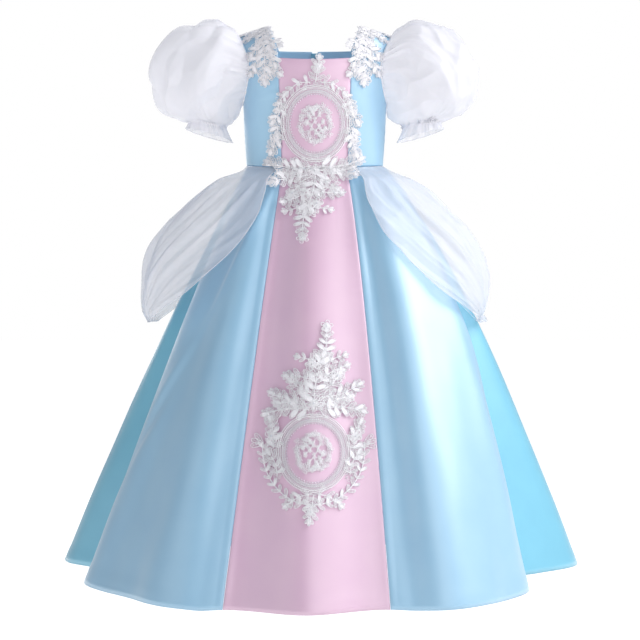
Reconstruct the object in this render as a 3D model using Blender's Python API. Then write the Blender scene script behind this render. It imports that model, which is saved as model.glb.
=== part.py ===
"""A girl's party dress, empty and in the shape that its wearer gives it.

Metres, +Z up, the front faces -Y, and left is the wearer's left (+X).
The origin is midway between the two shoulder seams, where the wearer's shoulders carry the dress.
"""

import functools
import math
from collections import namedtuple

import bmesh
import bpy
import numpy as np
from mathutils import Matrix, Vector

MM = 0.001

# Driving sizes: heights are measured down from the shoulder seams
WAIST_HEIGHT = -215 * MM
WAIST_DIP = 10 * MM
HEM_HEIGHT = -851 * MM
ARC_HEIGHT = -75 * MM
ARC_HALF_WIDTH = 130 * MM
SHOULDER_SLOPE = 0.33
NECK_HALF_AT_SHOULDER = 73 * MM
NECK_HALF_FRONT = 55 * MM
NECK_HALF_BACK = 57 * MM
SATIN = 1.2 * MM
ORGANZA = 1.0 * MM
SEAM_GAP = 0.3 * MM
LACE_GAP = 0.6 * MM
LACE_LIFT = 7 * MM
LACE_LIFT_END = -0.20

# Levels of the torso: 0 is the waist, 1 the start of the shoulder arc, 2 the shoulder seam
FRONT_NECK_LEVEL = 1.155
FRONT_NECK_SCOOP = 0.030
BACK_NECK_LEVEL = 1.44
UNDERARM_LEVEL = 0.69
ARMHOLE_WIDE_LEVEL = 1.25
ARMHOLE_WIDE_DEG = 58
ARMHOLE_TOP_DEG = 66

Torso = namedtuple("Torso", "height half_width front_depth back_depth")
TORSO = [
    Torso(-0.215, 0.1055, 0.0780, 0.0740),
    Torso(-0.165, 0.1090, 0.0800, 0.0755),
    Torso(-0.118, 0.1110, 0.0812, 0.0765),
    Torso(-0.075, 0.1150, 0.0800, 0.0755),
]

# One row for each fold line of the skirt, anticlockwise seen from above from the centre front.
# A small bell keeps the fold full near the waist, and a large one lets it flare late.
Fold = namedtuple("Fold", "name waist_deg hem_x hem_y bell")
FOLDS = [
    Fold("centre_front", -3, -0.010, -0.327, 0.80),
    Fold("front_seam_left", 27.5, 0.105, -0.283, 0.72),
    Fold("front_valley_left", 33, 0.134, -0.288, 0.72),
    Fold("front_roll_left", 41, 0.180, -0.289, 0.62),
    Fold("front_crest_left", 52, 0.246, -0.240, 0.54),
    Fold("front_edge_left", 66, 0.308, -0.150, 0.46),
    Fold("front_lip_left", 76, 0.316, -0.082, 0.46),
    Fold("side_seam_left", 86, 0.288, -0.022, 0.62),
    Fold("back_lip_left", 95, 0.350, 0.036, 0.66),
    Fold("back_edge_left", 104, 0.425, 0.122, 0.66),
    Fold("back_crest_left", 112, 0.424, 0.190, 0.66),
    Fold("back_valley_left", 122, 0.338, 0.214, 0.80),
    Fold("rear_crest_left", 134, 0.300, 0.308, 0.72),
    Fold("rear_valley_left", 147, 0.196, 0.292, 0.85),
    Fold("tail_crest_left", 159, 0.134, 0.352, 0.75),
    Fold("centre_back", 180, 0.000, 0.322, 0.85),
    Fold("tail_crest_right", 202, -0.142, 0.350, 0.78),
    Fold("rear_valley_right", 214, -0.204, 0.288, 0.88),
    Fold("rear_crest_right", 226, -0.306, 0.300, 0.75),
    Fold("back_valley_right", 237, -0.344, 0.228, 0.82),
    Fold("back_crest_right", 247, -0.414, 0.220, 0.84),
    Fold("back_edge_right", 255, -0.410, 0.158, 0.84),
    Fold("back_lip_right", 264, -0.352, 0.092, 0.84),
    Fold("side_seam_right", 273, -0.300, 0.036, 0.80),
    Fold("front_lip_right", 283, -0.346, 0.008, 0.92),
    Fold("front_edge_right", 293, -0.350, -0.050, 0.92),
    Fold("front_crest_right", 307, -0.266, -0.190, 0.84),
    Fold("front_roll_right", 320, -0.196, -0.272, 0.80),
    Fold("front_valley_right", 327, -0.154, -0.288, 0.86),
    Fold("front_seam_right", 332.5, -0.126, -0.284, 0.92),
]
FOLD_AT = {fold.name: place for place, fold in enumerate(FOLDS)}
BELL_START = 0.03

# The sheer overskirt of each hip: rows run down from the waist, edges are angles from the front
Peplum = namedtuple("Peplum", "height half_width half_depth front_deg back_deg")
PEPLUM = [
    Peplum(-0.2155, 0.1080, 0.0810, 31, 150),
    Peplum(-0.2360, 0.1490, 0.0990, 27, 153),
    Peplum(-0.2570, 0.1780, 0.1130, 24, 156),
    Peplum(-0.2850, 0.2080, 0.1270, 23, 157),
    Peplum(-0.3110, 0.2310, 0.1390, 24, 156),
    Peplum(-0.3400, 0.2500, 0.1520, 28, 152),
    Peplum(-0.3800, 0.2640, 0.1680, 36, 145),
    Peplum(-0.4150, 0.2670, 0.1810, 47, 134),
    Peplum(-0.4380, 0.2640, 0.1880, 61, 120),
    Peplum(-0.4550, 0.2560, 0.1920, 76, 104),
]
PEPLUM_ROWS = [0, 0.05, 0.14, 0.27, 0.42, 0.58, 0.73, 0.85, 0.93, 0.98, 1]
PEPLUM_GATHERS = 9
PEPLUM_GATHER_DEPTH = 2.6 * MM
PEPLUM_CLEARANCE = 6.5 * MM
PEPLUM_SOFTNESS = 6 * MM
PEPLUM_HEAD = 0.08
BRIDGE_SPREAD = math.radians(8)

# The puff sleeve: rows run from the armhole to the frill, across the arm in the X-Z plane
Puff = namedtuple("Puff", "along outer_x outer_z inner_x inner_z depth")
PUFF = [
    Puff(0.00, 0.119, -0.014, 0.1115, -0.117, 0.040),
    Puff(0.09, 0.128, 0.004, 0.1125, -0.122, 0.060),
    Puff(0.20, 0.158, 0.018, 0.1135, -0.127, 0.072),
    Puff(0.34, 0.202, 0.007, 0.1150, -0.132, 0.078),
    Puff(0.47, 0.238, -0.026, 0.1170, -0.137, 0.079),
    Puff(0.60, 0.257, -0.070, 0.1190, -0.141, 0.077),
    Puff(0.71, 0.251, -0.108, 0.1220, -0.146, 0.070),
    Puff(0.81, 0.232, -0.134, 0.1260, -0.150, 0.058),
    Puff(0.89, 0.206, -0.143, 0.1340, -0.153, 0.040),
    Puff(0.93, 0.197, -0.146, 0.1350, -0.158, 0.038),
    Puff(1.00, 0.201, -0.156, 0.1265, -0.177, 0.043),
]
PUFF_GATHERS = 12
HEAD_GATHER_DEPTH = 3.5 * MM
CUFF_GATHER_DEPTH = 3.5 * MM
PUFF_CRUMPLES = 5
CRUMPLE_DEPTH = 7 * MM
ARMHOLE_TUCK = 1.7 * MM

SATIN_BLUE = ("satin_blue", (0.43, 0.71, 0.86), 0.42, 0.0)
SATIN_TURQUOISE = ("satin_turquoise", (0.20, 0.60, 0.76), 0.42, 0.0)
SATIN_PINK = ("satin_pink", (0.87, 0.66, 0.78), 0.42, 0.0)
SHEER_WHITE = ("organza_white", (0.90, 0.90, 0.95), 0.60, 0.0)
LACE_WHITE = ("lace_white", (0.90, 0.88, 0.91), 0.70, 0.0)
ZIP_BLUE = ("zip_blue", (0.36, 0.62, 0.78), 0.55, 0.0)
ZIP_METAL = ("zip_metal", (0.62, 0.74, 0.82), 0.35, 0.8)


# Small helpers
def hermite(keys, values, at):
    """The smooth curve through values at keys, read at one place."""
    last = len(keys) - 1
    i = min(max(int(np.searchsorted(keys, at)) - 1, 0), last - 1)
    step = keys[i + 1] - keys[i]

    def slope(k):
        low, high = max(k - 1, 0), min(k + 1, last)
        return (values[high] - values[low]) / (keys[high] - keys[low])

    u = (at - keys[i]) / step
    return (
        (2 * u**3 - 3 * u**2 + 1) * values[i]
        + (u**3 - 2 * u**2 + u) * step * slope(i)
        + (3 * u**2 - 2 * u**3) * values[i + 1]
        + (u**3 - u**2) * step * slope(i + 1)
    )


def column(table, key, value, at):
    """A named column of a table, read smoothly at a place in its key column."""
    keys = [getattr(row, key) for row in table]
    values = [getattr(row, value) for row in table]
    if keys[0] > keys[-1]:
        keys, values = keys[::-1], values[::-1]
    return float(hermite(np.array(keys), np.array(values), at))


def unit(vector):
    return vector / np.linalg.norm(vector)


def blend(low, high, share):
    return low + (high - low) * share


def eased(share):
    share = min(max(share, 0.0), 1.0)
    return share * share * (3 - 2 * share)


# The torso that the bodice is cut for
def torso_point(level, around, side):
    """A point of the bodice: around is the angle from the centre, side is -1 in front and 1 behind."""
    depth_column = "front_depth" if side < 0 else "back_depth"
    arc = max(level - 1, 0) * math.pi / 2
    height = blend(WAIST_HEIGHT, ARC_HEIGHT, min(level, 1))
    half_width = column(TORSO, "height", "half_width", height)
    depth = column(TORSO, "height", depth_column, height)
    half_width = blend(half_width, ARC_HALF_WIDTH, math.sin(arc)) if arc else half_width
    x = half_width * math.sin(around)
    y = side * depth * math.cos(arc) * math.cos(around)
    outside_neck = max(abs(x) - NECK_HALF_AT_SHOULDER, 0)
    z = height - ARC_HEIGHT * math.sin(arc) - SHOULDER_SLOPE * outside_neck * math.sin(arc)
    z -= waist_drop(around, side) * (1 - min(level, 1))
    return np.array([x, y, z])


def waist_drop(around, side):
    """How far the waist seam sits below its height at the hips: it dips in front."""
    return WAIST_DIP * math.cos(around) ** 2 if side < 0 else 0.0


def around_at(x, level):
    """The angle at which the torso reaches a distance x from the middle."""
    half_width = np.linalg.norm(torso_point(level, math.pi / 2, -1)[0])
    return math.asin(min(max(x / half_width, -1), 1))


def armhole_around(level):
    """The angle of the armhole's edge, which is the side seam below the underarm."""
    if level <= UNDERARM_LEVEL:
        return math.pi / 2
    wide, top = math.radians(ARMHOLE_WIDE_DEG), math.radians(ARMHOLE_TOP_DEG)
    if level >= ARMHOLE_WIDE_LEVEL:
        return blend(wide, top, (level - ARMHOLE_WIDE_LEVEL) / (2 - ARMHOLE_WIDE_LEVEL))
    share = (level - UNDERARM_LEVEL) / (ARMHOLE_WIDE_LEVEL - UNDERARM_LEVEL)
    return blend(math.pi / 2, wide, math.sqrt(1 - (1 - share) ** 2))


def neck_x(level, neck_level, half_width):
    """The distance from the middle of the neck's edge, which widens up to the shoulder."""
    share = max(level - neck_level, 0) / (2 - neck_level)
    return blend(half_width, NECK_HALF_AT_SHOULDER, share)


def outward(surface, a, b, inside):
    """The unit normal of surface(a, b), pointing away from the point inside."""
    step = 1e-4
    along_a = surface(a + step, b) - surface(a - step, b)
    along_b = surface(a, b + step) - surface(a, b - step)
    normal = unit(np.cross(along_a, along_b))
    return normal if np.dot(normal, surface(a, b) - inside) > 0 else -normal


# The skirt
def bell(depth, power):
    """How far a fold has flared at a share of the skirt's length."""
    start = BELL_START**power
    return ((max(depth, 0) + BELL_START) ** power - start) / ((1 + BELL_START) ** power - start)


def waist_point(degrees):
    """A point of the waist seam, by its angle from the centre front."""
    turn = math.radians(degrees)
    side = -1 if math.cos(turn) > 0 else 1
    around = math.asin(math.sin(turn))
    return torso_point(0, around, side)


WAIST_NODES = [waist_point(fold.waist_deg) for fold in FOLDS]


def fold_node(place, depth):
    """Where a fold line is at a share of the skirt's length."""
    fold, top = FOLDS[place % len(FOLDS)], WAIST_NODES[place % len(FOLDS)]
    share = bell(depth, fold.bell)
    return np.array(
        [
            blend(top[0], fold.hem_x, share),
            blend(top[1], fold.hem_y, share),
            blend(top[2], HEM_HEIGHT, depth),
        ]
    )


def heading(before, here, after):
    """The direction of a smooth curve through three points, at the middle one."""
    near, far = np.linalg.norm(here - before), np.linalg.norm(after - here)
    return ((here - before) * far / near + (after - here) * near / far) / (near + far)


def skirt_point(place, depth):
    """A point of the skirt: place runs along the fold lines, depth from the waist to the hem."""
    start = math.floor(place)
    u = place - start
    before, here, after, last = (fold_node(start + k, depth) for k in (-1, 0, 1, 2))
    span = np.linalg.norm(after - here)
    go_in = heading(before, here, after) * span
    go_out = heading(here, after, last) * span
    return (
        (2 * u**3 - 3 * u**2 + 1) * here
        + (u**3 - 2 * u**2 + u) * go_in
        + (3 * u**2 - 2 * u**3) * after
        + (u**3 - u**2) * go_out
    )


def skirt_depth_at(height):
    return (WAIST_HEIGHT - height) / (WAIST_HEIGHT - HEM_HEIGHT)


# Objects and materials
def material(look):
    name, colour, roughness, metallic = look
    made = bpy.data.materials.get(name) or bpy.data.materials.new(name)
    made.use_nodes = True
    shader = made.node_tree.nodes["Principled BSDF"]
    shader.inputs["Base Color"].default_value = (*colour, 1)
    shader.inputs["Roughness"].default_value = roughness
    shader.inputs["Metallic"].default_value = metallic
    return made


def add_object(name, mesh, look, collection):
    mesh.materials.clear()
    mesh.materials.append(material(look))
    made = bpy.data.objects.new(name, mesh)
    collection.objects.link(made)
    return made


def mesh_from(bm, name):
    bmesh.ops.recalc_face_normals(bm, faces=bm.faces)
    mesh = bpy.data.meshes.new(name)
    bm.to_mesh(mesh)
    bm.free()
    return mesh


def wall_mesh(name, outer, inner, ring=False, has_cell=None):
    """A closed wall between two grids of points. ring joins the last column to the first."""
    rows, columns = outer.shape[:2]
    wide = columns if ring else columns - 1
    bm = bmesh.new()
    grids = [{}, {}]

    def corner(layer, i, j):
        key = (i, j % columns)
        if key not in grids[layer]:
            grids[layer][key] = bm.verts.new((outer, inner)[layer][key])
        return grids[layer][key]

    edges = {}
    for i in range(rows - 1):
        for j in range(wide):
            if has_cell and not has_cell(i, j):
                continue
            cell = [(i, j), (i, j + 1), (i + 1, j + 1), (i + 1, j)]
            bm.faces.new([corner(0, *c) for c in cell])
            bm.faces.new([corner(1, *c) for c in reversed(cell)])
            for a, b in zip(cell, cell[1:] + cell[:1]):
                key = tuple(sorted([(a[0], a[1] % columns), (b[0], b[1] % columns)]))
                edges.setdefault(key, []).append((a, b))
    for uses in edges.values():
        if len(uses) == 1:
            a, b = uses[0]
            bm.faces.new([corner(0, *b), corner(0, *a), corner(1, *a), corner(1, *b)])
    return mesh_from(bm, name)


# Bodice
def bodice_panel(name, side, rows, look, collection, has_cell=None):
    """A panel of the bodice from rows of (level, angle from the centre)."""

    def surface(level, around):
        return torso_point(level, around, side)

    outer = np.array([[surface(*place) for place in row] for row in rows])
    inner = outer.copy()
    for i, row in enumerate(rows):
        for j, place in enumerate(row):
            inside = np.array([0, 0, min(outer[i, j, 2], ARC_HEIGHT)])
            inner[i, j] -= SATIN * outward(surface, *place, inside)
    return add_object(name, wall_mesh(name, outer, inner, has_cell=has_cell), look, collection)


HALF_GAP = SEAM_GAP / 2
ZIP_HALF_GAP = 0.5 * MM
NOTCH_HALF_WIDTH = 4.5 * MM
NOTCH_LEVEL = 1.34
SHOULDER_SEAM_LEVEL = 2 - HALF_GAP / (TORSO[-1].back_depth * math.pi / 2 * 0.45)
TRUNK_LEVELS = [HALF_GAP / (ARC_HEIGHT - WAIST_HEIGHT), 0.18, 0.36, 0.53, UNDERARM_LEVEL]
ARMHOLE_LEVELS = [0.70, 0.725, 0.77, 0.85, 0.96, 1.06]
STRAP_LEVELS = [FRONT_NECK_LEVEL, 1.29, 1.44, 1.60, 1.78, SHOULDER_SEAM_LEVEL]
BACK_LEVELS = [1.18, NOTCH_LEVEL, BACK_NECK_LEVEL, 1.58, 1.76, SHOULDER_SEAM_LEVEL]


def princess_x(level):
    """The distance from the middle of the seam between the pink centre and the blue side."""
    if level > FRONT_NECK_LEVEL:
        return neck_x(level, FRONT_NECK_LEVEL, NECK_HALF_FRONT)
    return blend(NECK_HALF_FRONT - 5 * MM, NECK_HALF_FRONT, min(level, 1))


def armhole_edge(level):
    """The outer edge of a blue panel: half a seam from the side seam, or on the armhole."""
    edge = armhole_around(level)
    return edge - HALF_GAP / TORSO[0].front_depth if level <= UNDERARM_LEVEL else edge


def centre_rows():
    """The pink centre's rows: the last one is scooped a little at the neckline."""
    columns = 10
    rows = []
    for level in [*TRUNK_LEVELS, *ARMHOLE_LEVELS[3:], FRONT_NECK_LEVEL - FRONT_NECK_SCOOP]:
        top = FRONT_NECK_SCOOP if level > ARMHOLE_LEVELS[-1] else 0
        row = []
        for j in range(columns + 1):
            share = 2 * j / columns - 1
            here = level + top * share**2
            row.append((here, share * around_at(princess_x(here) - HALF_GAP, here)))
        rows.append(row)
    return rows


def front_rows(hand):
    rows = []
    for level in [*TRUNK_LEVELS, *ARMHOLE_LEVELS, *STRAP_LEVELS]:
        ends = around_at(princess_x(level) + HALF_GAP, level), armhole_edge(level)
        rows.append([(level, hand * around) for around in np.linspace(*ends, 6)])
    return rows


def back_rows(hand):
    """The back's rows: three columns from the zip to the neck's side, four more on to the armhole."""
    rows = []
    for level in [*TRUNK_LEVELS, *ARMHOLE_LEVELS, *BACK_LEVELS]:
        notch = eased((level - NOTCH_LEVEL) / (BACK_NECK_LEVEL - NOTCH_LEVEL))
        zip_side = around_at(blend(ZIP_HALF_GAP, NOTCH_HALF_WIDTH, notch), level)
        neck = around_at(neck_x(level, BACK_NECK_LEVEL, NECK_HALF_BACK), level)
        arounds = [*np.linspace(zip_side, neck, 4), *np.linspace(neck, armhole_edge(level), 5)[1:]]
        rows.append([(level, hand * around) for around in arounds])
    return rows


def bodice(collection):
    bodice_panel("bodice_front_centre", -1, centre_rows(), SATIN_PINK, collection)
    neck_row = len(TRUNK_LEVELS) + len(ARMHOLE_LEVELS) + BACK_LEVELS.index(BACK_NECK_LEVEL)
    for name, hand in (("left", 1), ("right", -1)):
        bodice_panel(f"bodice_front_{name}", -1, front_rows(hand), SATIN_BLUE, collection)
        bodice_panel(
            f"bodice_back_{name}",
            1,
            back_rows(hand),
            SATIN_BLUE,
            collection,
            has_cell=lambda i, j: i < neck_row or j >= 3,
        )


# Skirt panels
def skirt_panel(name, first, last, depths, per_fold, look, collection):
    """A gore of the skirt between two fold lines, with half a seam's gap at each side."""
    start, end = FOLD_AT[first], FOLD_AT[last]
    end += len(FOLDS) if end < start else 0
    count = (end - start) * per_fold
    outer = np.zeros((len(depths), count + 1, 3))
    inner = outer.copy()
    for i, depth in enumerate(depths):
        for j in range(count + 1):
            place = blend(start, end, j / count)
            if j in (0, count):
                toward = 1 if j == 0 else -1
                pace = np.linalg.norm(skirt_point(place + 0.01 * toward, depth) - skirt_point(place, depth))
                place += toward * 0.01 * SEAM_GAP / 2 / pace
            point = skirt_point(place, depth)
            middle = np.array([0, 0, point[2] - 0.05])
            outer[i, j] = point
            inner[i, j] = point - SATIN * outward(skirt_point, place, depth, middle)
    return add_object(name, wall_mesh(name, outer, inner), look, collection)


SKIRT_PANELS = [
    ("skirt_front_centre", "front_seam_right", "front_seam_left", 5, SATIN_PINK),
    ("skirt_front_left", "front_seam_left", "side_seam_left", 3, SATIN_BLUE),
    ("skirt_back_left", "side_seam_left", "centre_back", 3, SATIN_TURQUOISE),
    ("skirt_back_right", "centre_back", "side_seam_right", 3, SATIN_TURQUOISE),
    ("skirt_front_right", "side_seam_right", "front_seam_right", 3, SATIN_BLUE),
]
SKIRT_DEPTHS = [0.00025, 0.03, 0.07, 0.13, 0.21, 0.31, 0.43, 0.57, 0.71, 0.86, 1.0]


def skirt(collection):
    for name, first, last, per_fold, look in SKIRT_PANELS:
        skirt_panel(name, first, last, SKIRT_DEPTHS, per_fold, look, collection)


# Overskirt
@functools.lru_cache
def skirt_outline(tenths):
    """The skirt's section at a height in tenths of a millimetre: angles from the front, and reaches."""
    depth = skirt_depth_at(tenths * MM / 10)
    points = [skirt_point(k / 6, depth) for k in range(len(FOLDS) * 6)]
    angles = np.array([math.atan2(p[0], -p[1]) for p in points])
    reach = np.array([math.hypot(p[0], p[1]) for p in points])
    order = np.argsort(angles)
    return angles[order], reach[order]


def skirt_reach(angle, height):
    """How far the skirt reaches at an angle and a height, and how much it widens per metre down."""
    step = 2 * MM
    here, lower = (
        float(np.interp(angle, *skirt_outline(round(z / MM * 10)), period=2 * math.pi))
        for z in (height, height - step)
    )
    return here, (lower - here) / step


def bridged_reach(angle, height):
    """The reach of cloth that lies over the skirt at an angle and bridges its narrow valleys."""
    angles, reach = skirt_outline(round(height / MM * 10))
    away = (angles - angle + math.pi) % (2 * math.pi) - math.pi
    weight = np.exp(-((away / BRIDGE_SPREAD) ** 2))
    return float(((weight * reach**40).sum() / weight.sum()) ** (1 / 40))


def soft_max(first, second, softness):
    return (first + second + math.hypot(first - second, softness)) / 2


def peplum_point(turn, down, wave, hand):
    """A point of the overskirt: sewn into the waist seam at the top, standing off the skirt below."""
    height = blend(PEPLUM[0].height, PEPLUM[-1].height, down)
    x = column(PEPLUM, "height", "half_width", height) * math.sin(turn)
    y = -column(PEPLUM, "height", "half_depth", height) * math.cos(turn)
    z = height - waist_drop(math.asin(math.sin(turn)), -1 if y < 0 else 1) * (1 - down)
    angle = math.atan2(hand * x, -y)
    here, slope = skirt_reach(angle, z)
    lean = math.hypot(1, slope)
    sewn = here + (ORGANZA + SEAM_GAP) * lean
    clear = max(bridged_reach(angle, z), here) + PEPLUM_CLEARANCE * lean
    free = soft_max(clear, math.hypot(x, y), PEPLUM_SOFTNESS)
    free += PEPLUM_GATHER_DEPTH * (1 - down) ** 0.7 * wave
    reach = blend(sewn, free, eased(down / PEPLUM_HEAD))
    return np.array([reach * math.sin(angle), -reach * math.cos(angle), z])


def peplum(name, hand, collection):
    rows, columns = len(PEPLUM_ROWS), PEPLUM_GATHERS * 3
    outer = np.zeros((rows, columns + 1, 3))
    inner = outer.copy()
    for i, down in enumerate(PEPLUM_ROWS):
        height = blend(PEPLUM[0].height, PEPLUM[-1].height, down)
        front = math.radians(column(PEPLUM, "height", "front_deg", height))
        back = math.radians(column(PEPLUM, "height", "back_deg", height))
        for j in range(columns + 1):
            wave = 0.5 + 0.5 * math.cos(2 * math.pi * PEPLUM_GATHERS * j / columns)
            outer[i, j] = peplum_point(blend(front, back, j / columns), down, wave, hand)
    for i in range(rows):
        for j in range(columns + 1):
            up, low = outer[max(i - 1, 0), j], outer[min(i + 1, rows - 1), j]
            left, right = outer[i, max(j - 1, 0)], outer[i, min(j + 1, columns)]
            normal = unit(np.cross(right - left, low - up))
            normal *= np.sign(np.dot(normal, outer[i, j] * np.array([1, 1, 0])))
            inner[i, j] = outer[i, j] - ORGANZA * normal
    return add_object(name, wall_mesh(name, outer, inner), SHEER_WHITE, collection)


# Sleeves
def armhole_loop(count):
    """Points along the armhole's edge: over the shoulder, down the front, up the back."""
    levels = np.concatenate([np.linspace(2, 1.2, 20), 1.2 - 0.51 * np.linspace(0, 1, 50)[1:] ** 0.7])
    levels = np.append(levels[levels > UNDERARM_LEVEL], UNDERARM_LEVEL)
    front = [torso_point(level, armhole_around(level), -1) for level in levels]
    back = [torso_point(level, armhole_around(level), 1) for level in levels[::-1]]
    line = np.array(front + back[1:])
    along = np.concatenate([[0], np.cumsum(np.linalg.norm(np.diff(line, axis=0), axis=1))])
    at = np.linspace(0, along[-1], count + 1)[:-1]
    return np.stack([np.interp(at, along, line[:, k]) for k in range(3)], axis=1)


def puff_point(along, turn, loop_point):
    """A point of the left sleeve: turn is 0 on top of the shoulder and grows towards the front."""
    outer = np.array([column(PUFF, "along", "outer_x", along), 0, column(PUFF, "along", "outer_z", along)])
    inner = np.array([column(PUFF, "along", "inner_x", along), 0, column(PUFF, "along", "inner_z", along)])
    depth = column(PUFF, "along", "depth", along)
    centre, across = (outer + inner) / 2, (outer - inner) / 2
    head = HEAD_GATHER_DEPTH * eased(along / 0.08) * (1 - eased((along - 0.08) / 0.4))
    cuff = CUFF_GATHER_DEPTH * eased((along - 0.66) / 0.25)
    wave = (head + cuff) * (0.5 + 0.5 * math.cos(PUFF_GATHERS * turn))
    crumple = math.sin(math.pi * along) ** 2 * (0.5 + 0.5 * math.cos(turn))
    wave += CRUMPLE_DEPTH * crumple * (0.5 + 0.5 * math.sin(PUFF_CRUMPLES * turn + 4 * along))
    oval = across * math.cos(turn) + np.array([0, -depth, 0]) * math.sin(turn)
    point = centre + oval - unit(oval) * wave
    if loop_point is None:
        return point
    first = puff_point(0, turn, None)
    return point + (loop_point - first) * (1 - eased(along / 0.16))


def sleeve(name, hand, collection):
    columns = PUFF_GATHERS * 3
    loop = armhole_loop(columns)
    middle = loop.mean(axis=0)
    tucked = np.array([p + unit(middle - p) * ARMHOLE_TUCK for p in loop])
    alongs = [0, 0.035, 0.10, 0.20, 0.33, 0.47, 0.60, 0.71, 0.81, 0.89, 1.0]
    outer = np.zeros((len(alongs), columns, 3))
    inner = outer.copy()
    for i, along in enumerate(alongs):
        for j in range(columns):
            outer[i, j] = puff_point(along, 2 * math.pi * j / columns, tucked[j])
    for i in range(len(alongs)):
        for j in range(columns):
            up, down = outer[max(i - 1, 0), j], outer[min(i + 1, len(alongs) - 1), j]
            left, right = outer[i, j - 1], outer[i, (j + 1) % columns]
            normal = unit(np.cross(right - left, down - up))
            normal *= np.sign(np.dot(normal, outer[i, j] - outer[i].mean(axis=0)))
            if i == 0:
                normal = unit(outer[i, j] - outer[i].mean(axis=0))
            inner[i, j] = outer[i, j] - ORGANZA * normal
    mirror = np.array([hand, 1, 1])
    mesh = wall_mesh(name, outer * mirror, inner * mirror, ring=True)
    return add_object(name, mesh, SHEER_WHITE, collection)


# Lace: drawn flat in millimetres, joined, then laid on the front of the dress
LACE_PLATE = 1.6
LACE_CORD = 1.8
LACE_LONGEST_EDGE = 17
LACE_STEM_HALF_WIDTH = 2.2
OVAL_HALF_WIDTH = 51.5
OVAL_HALF_HEIGHT = 57
OVAL_STEPS = 26

# Blooms stand along each spray, shrinking from the first size to the last, with leaves in pairs
Spray = namedtuple("Spray", "x s end_x end_s bend blooms first last pairs leaf")
MEDALLION_SPRAYS = [
    Spray(0, 62, 2, 90, 0, 2, 14, 10, 2, 13),
    Spray(-55, 24, -60, -36, 4, 2, 11, 12, 2, 14),
    Spray(55, 16, 58, -44, -4, 2, 11, 12, 2, 14),
    Spray(-8, -64, -64, -55, 4, 3, 14, 9, 2, 14),
    Spray(8, -64, 58, -53, -4, 3, 14, 9, 2, 14),
    Spray(-8, -88, -46, -96, -4, 2, 12, 10, 1, 14),
    Spray(8, -88, 40, -100, 4, 2, 13, 10, 1, 13),
    Spray(0, -62, -14, -146, 4, 4, 19, 16, 0, 12),
    Spray(-18, -124, -42, -126, 3, 2, 9, 10, 0, 11),
    Spray(-12, -132, 14, -135, -3, 2, 9, 10, 0, 11),
    Spray(-14, -150, -8, -178, -2, 2, 15, 10, 1, 12),
]
SHOULDER_SPRAYS = [
    Spray(2, -38, 16, 40, 3, 6, 11, 14, 2, 14),
    Spray(14, 34, 27, 38, 0, 2, 9, 8, 0, 10),
]
BOUQUET = [(0, 0, 14), (-11, -12, 10), (11, -12, 10), (-10, 14, 10), (10, 13, 10), (0, -24, 12)]
OVAL_RAYS = [(24, 15), (38, 16), (52, 15), (66, 14), (114, 14), (128, 15), (142, 16), (156, 15)]


def lace_plate(bm, outline):
    """A flat plate of lace, from its outline in order."""
    low = [bm.verts.new((*point, 0)) for point in outline]
    plate = bmesh.ops.contextual_create(bm, geom=low)["faces"]
    top = bmesh.ops.extrude_face_region(bm, geom=plate, use_keep_orig=True)["geom"]
    raised = [item for item in top if isinstance(item, bmesh.types.BMVert)]
    bmesh.ops.translate(bm, vec=(0, 0, LACE_PLATE), verts=raised)


def lace_leaf(bm, x, s, angle, length):
    """A pointed leaf."""
    shape = ((0, -0.08), (0.42, -0.27), (1, 0), (0.42, 0.27), (0, 0.08))
    turn = Matrix.Rotation(angle, 2)
    points = [turn @ Vector(point) * length for point in shape]
    lace_plate(bm, [Vector((x, s)) + point for point in points])


def lace_bloom(bm, x, s, radius, turn):
    """A flower with four or five petals."""
    petals = 5 if radius > 10 else 4
    outline = []
    for k in range(2 * petals):
        reach = radius * (1 if k % 2 else 0.66)
        angle = turn + math.pi * k / petals
        outline.append(Vector((x + reach * math.cos(angle), s + reach * math.sin(angle))))
    lace_plate(bm, outline)


def lace_oval(bm):
    """The wreath: two corded rims with a lower band between them."""
    section = ((0, 0), (0, 1.5), (6, LACE_CORD), (8.5, 1.0), (14, LACE_CORD), (14, 0))
    rings = []
    for inset, level in section:
        ring = []
        for k in range(OVAL_STEPS):
            angle = 2 * math.pi * k / OVAL_STEPS
            x = (OVAL_HALF_WIDTH - inset) * math.cos(angle)
            s = (OVAL_HALF_HEIGHT - inset) * math.sin(angle)
            ring.append(bm.verts.new((x, s, level)))
        rings.append(ring)
    for low, high in zip(rings, rings[1:] + rings[:1]):
        for k in range(OVAL_STEPS):
            n = (k + 1) % OVAL_STEPS
            bm.faces.new([low[k], low[n], high[n], high[k]])


def lace_spray(bm, spray):
    """A curved row of blooms with leaves in pairs, and a leaf at its end."""
    start, end = Vector((spray.x, spray.s)), Vector((spray.end_x, spray.end_s))
    across = Vector((start.y - end.y, end.x - start.x)).normalized()
    angle = math.atan2(end.y - start.y, end.x - start.x)

    def at(share):
        return start.lerp(end, share) + across * spray.bend * math.sin(math.pi * share)

    for k in range(spray.blooms):
        share = k / (spray.blooms - 1)
        place = at(share)
        lace_bloom(bm, place.x, place.y, blend(spray.first, spray.last, share), angle + 2.4 * k)
        if k:
            run = place - before
            side = Vector((-run.y, run.x)).normalized() * LACE_STEM_HALF_WIDTH
            lace_plate(bm, [before - side, place - side, place + side, before + side])
        before = place
    for k in range(spray.pairs):
        place = at((k + 0.75) / spray.pairs)
        for hand in (-1, 1):
            lace_leaf(bm, place.x, place.y, angle + hand * 1.0, spray.leaf + spray.last * 0.5)


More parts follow.
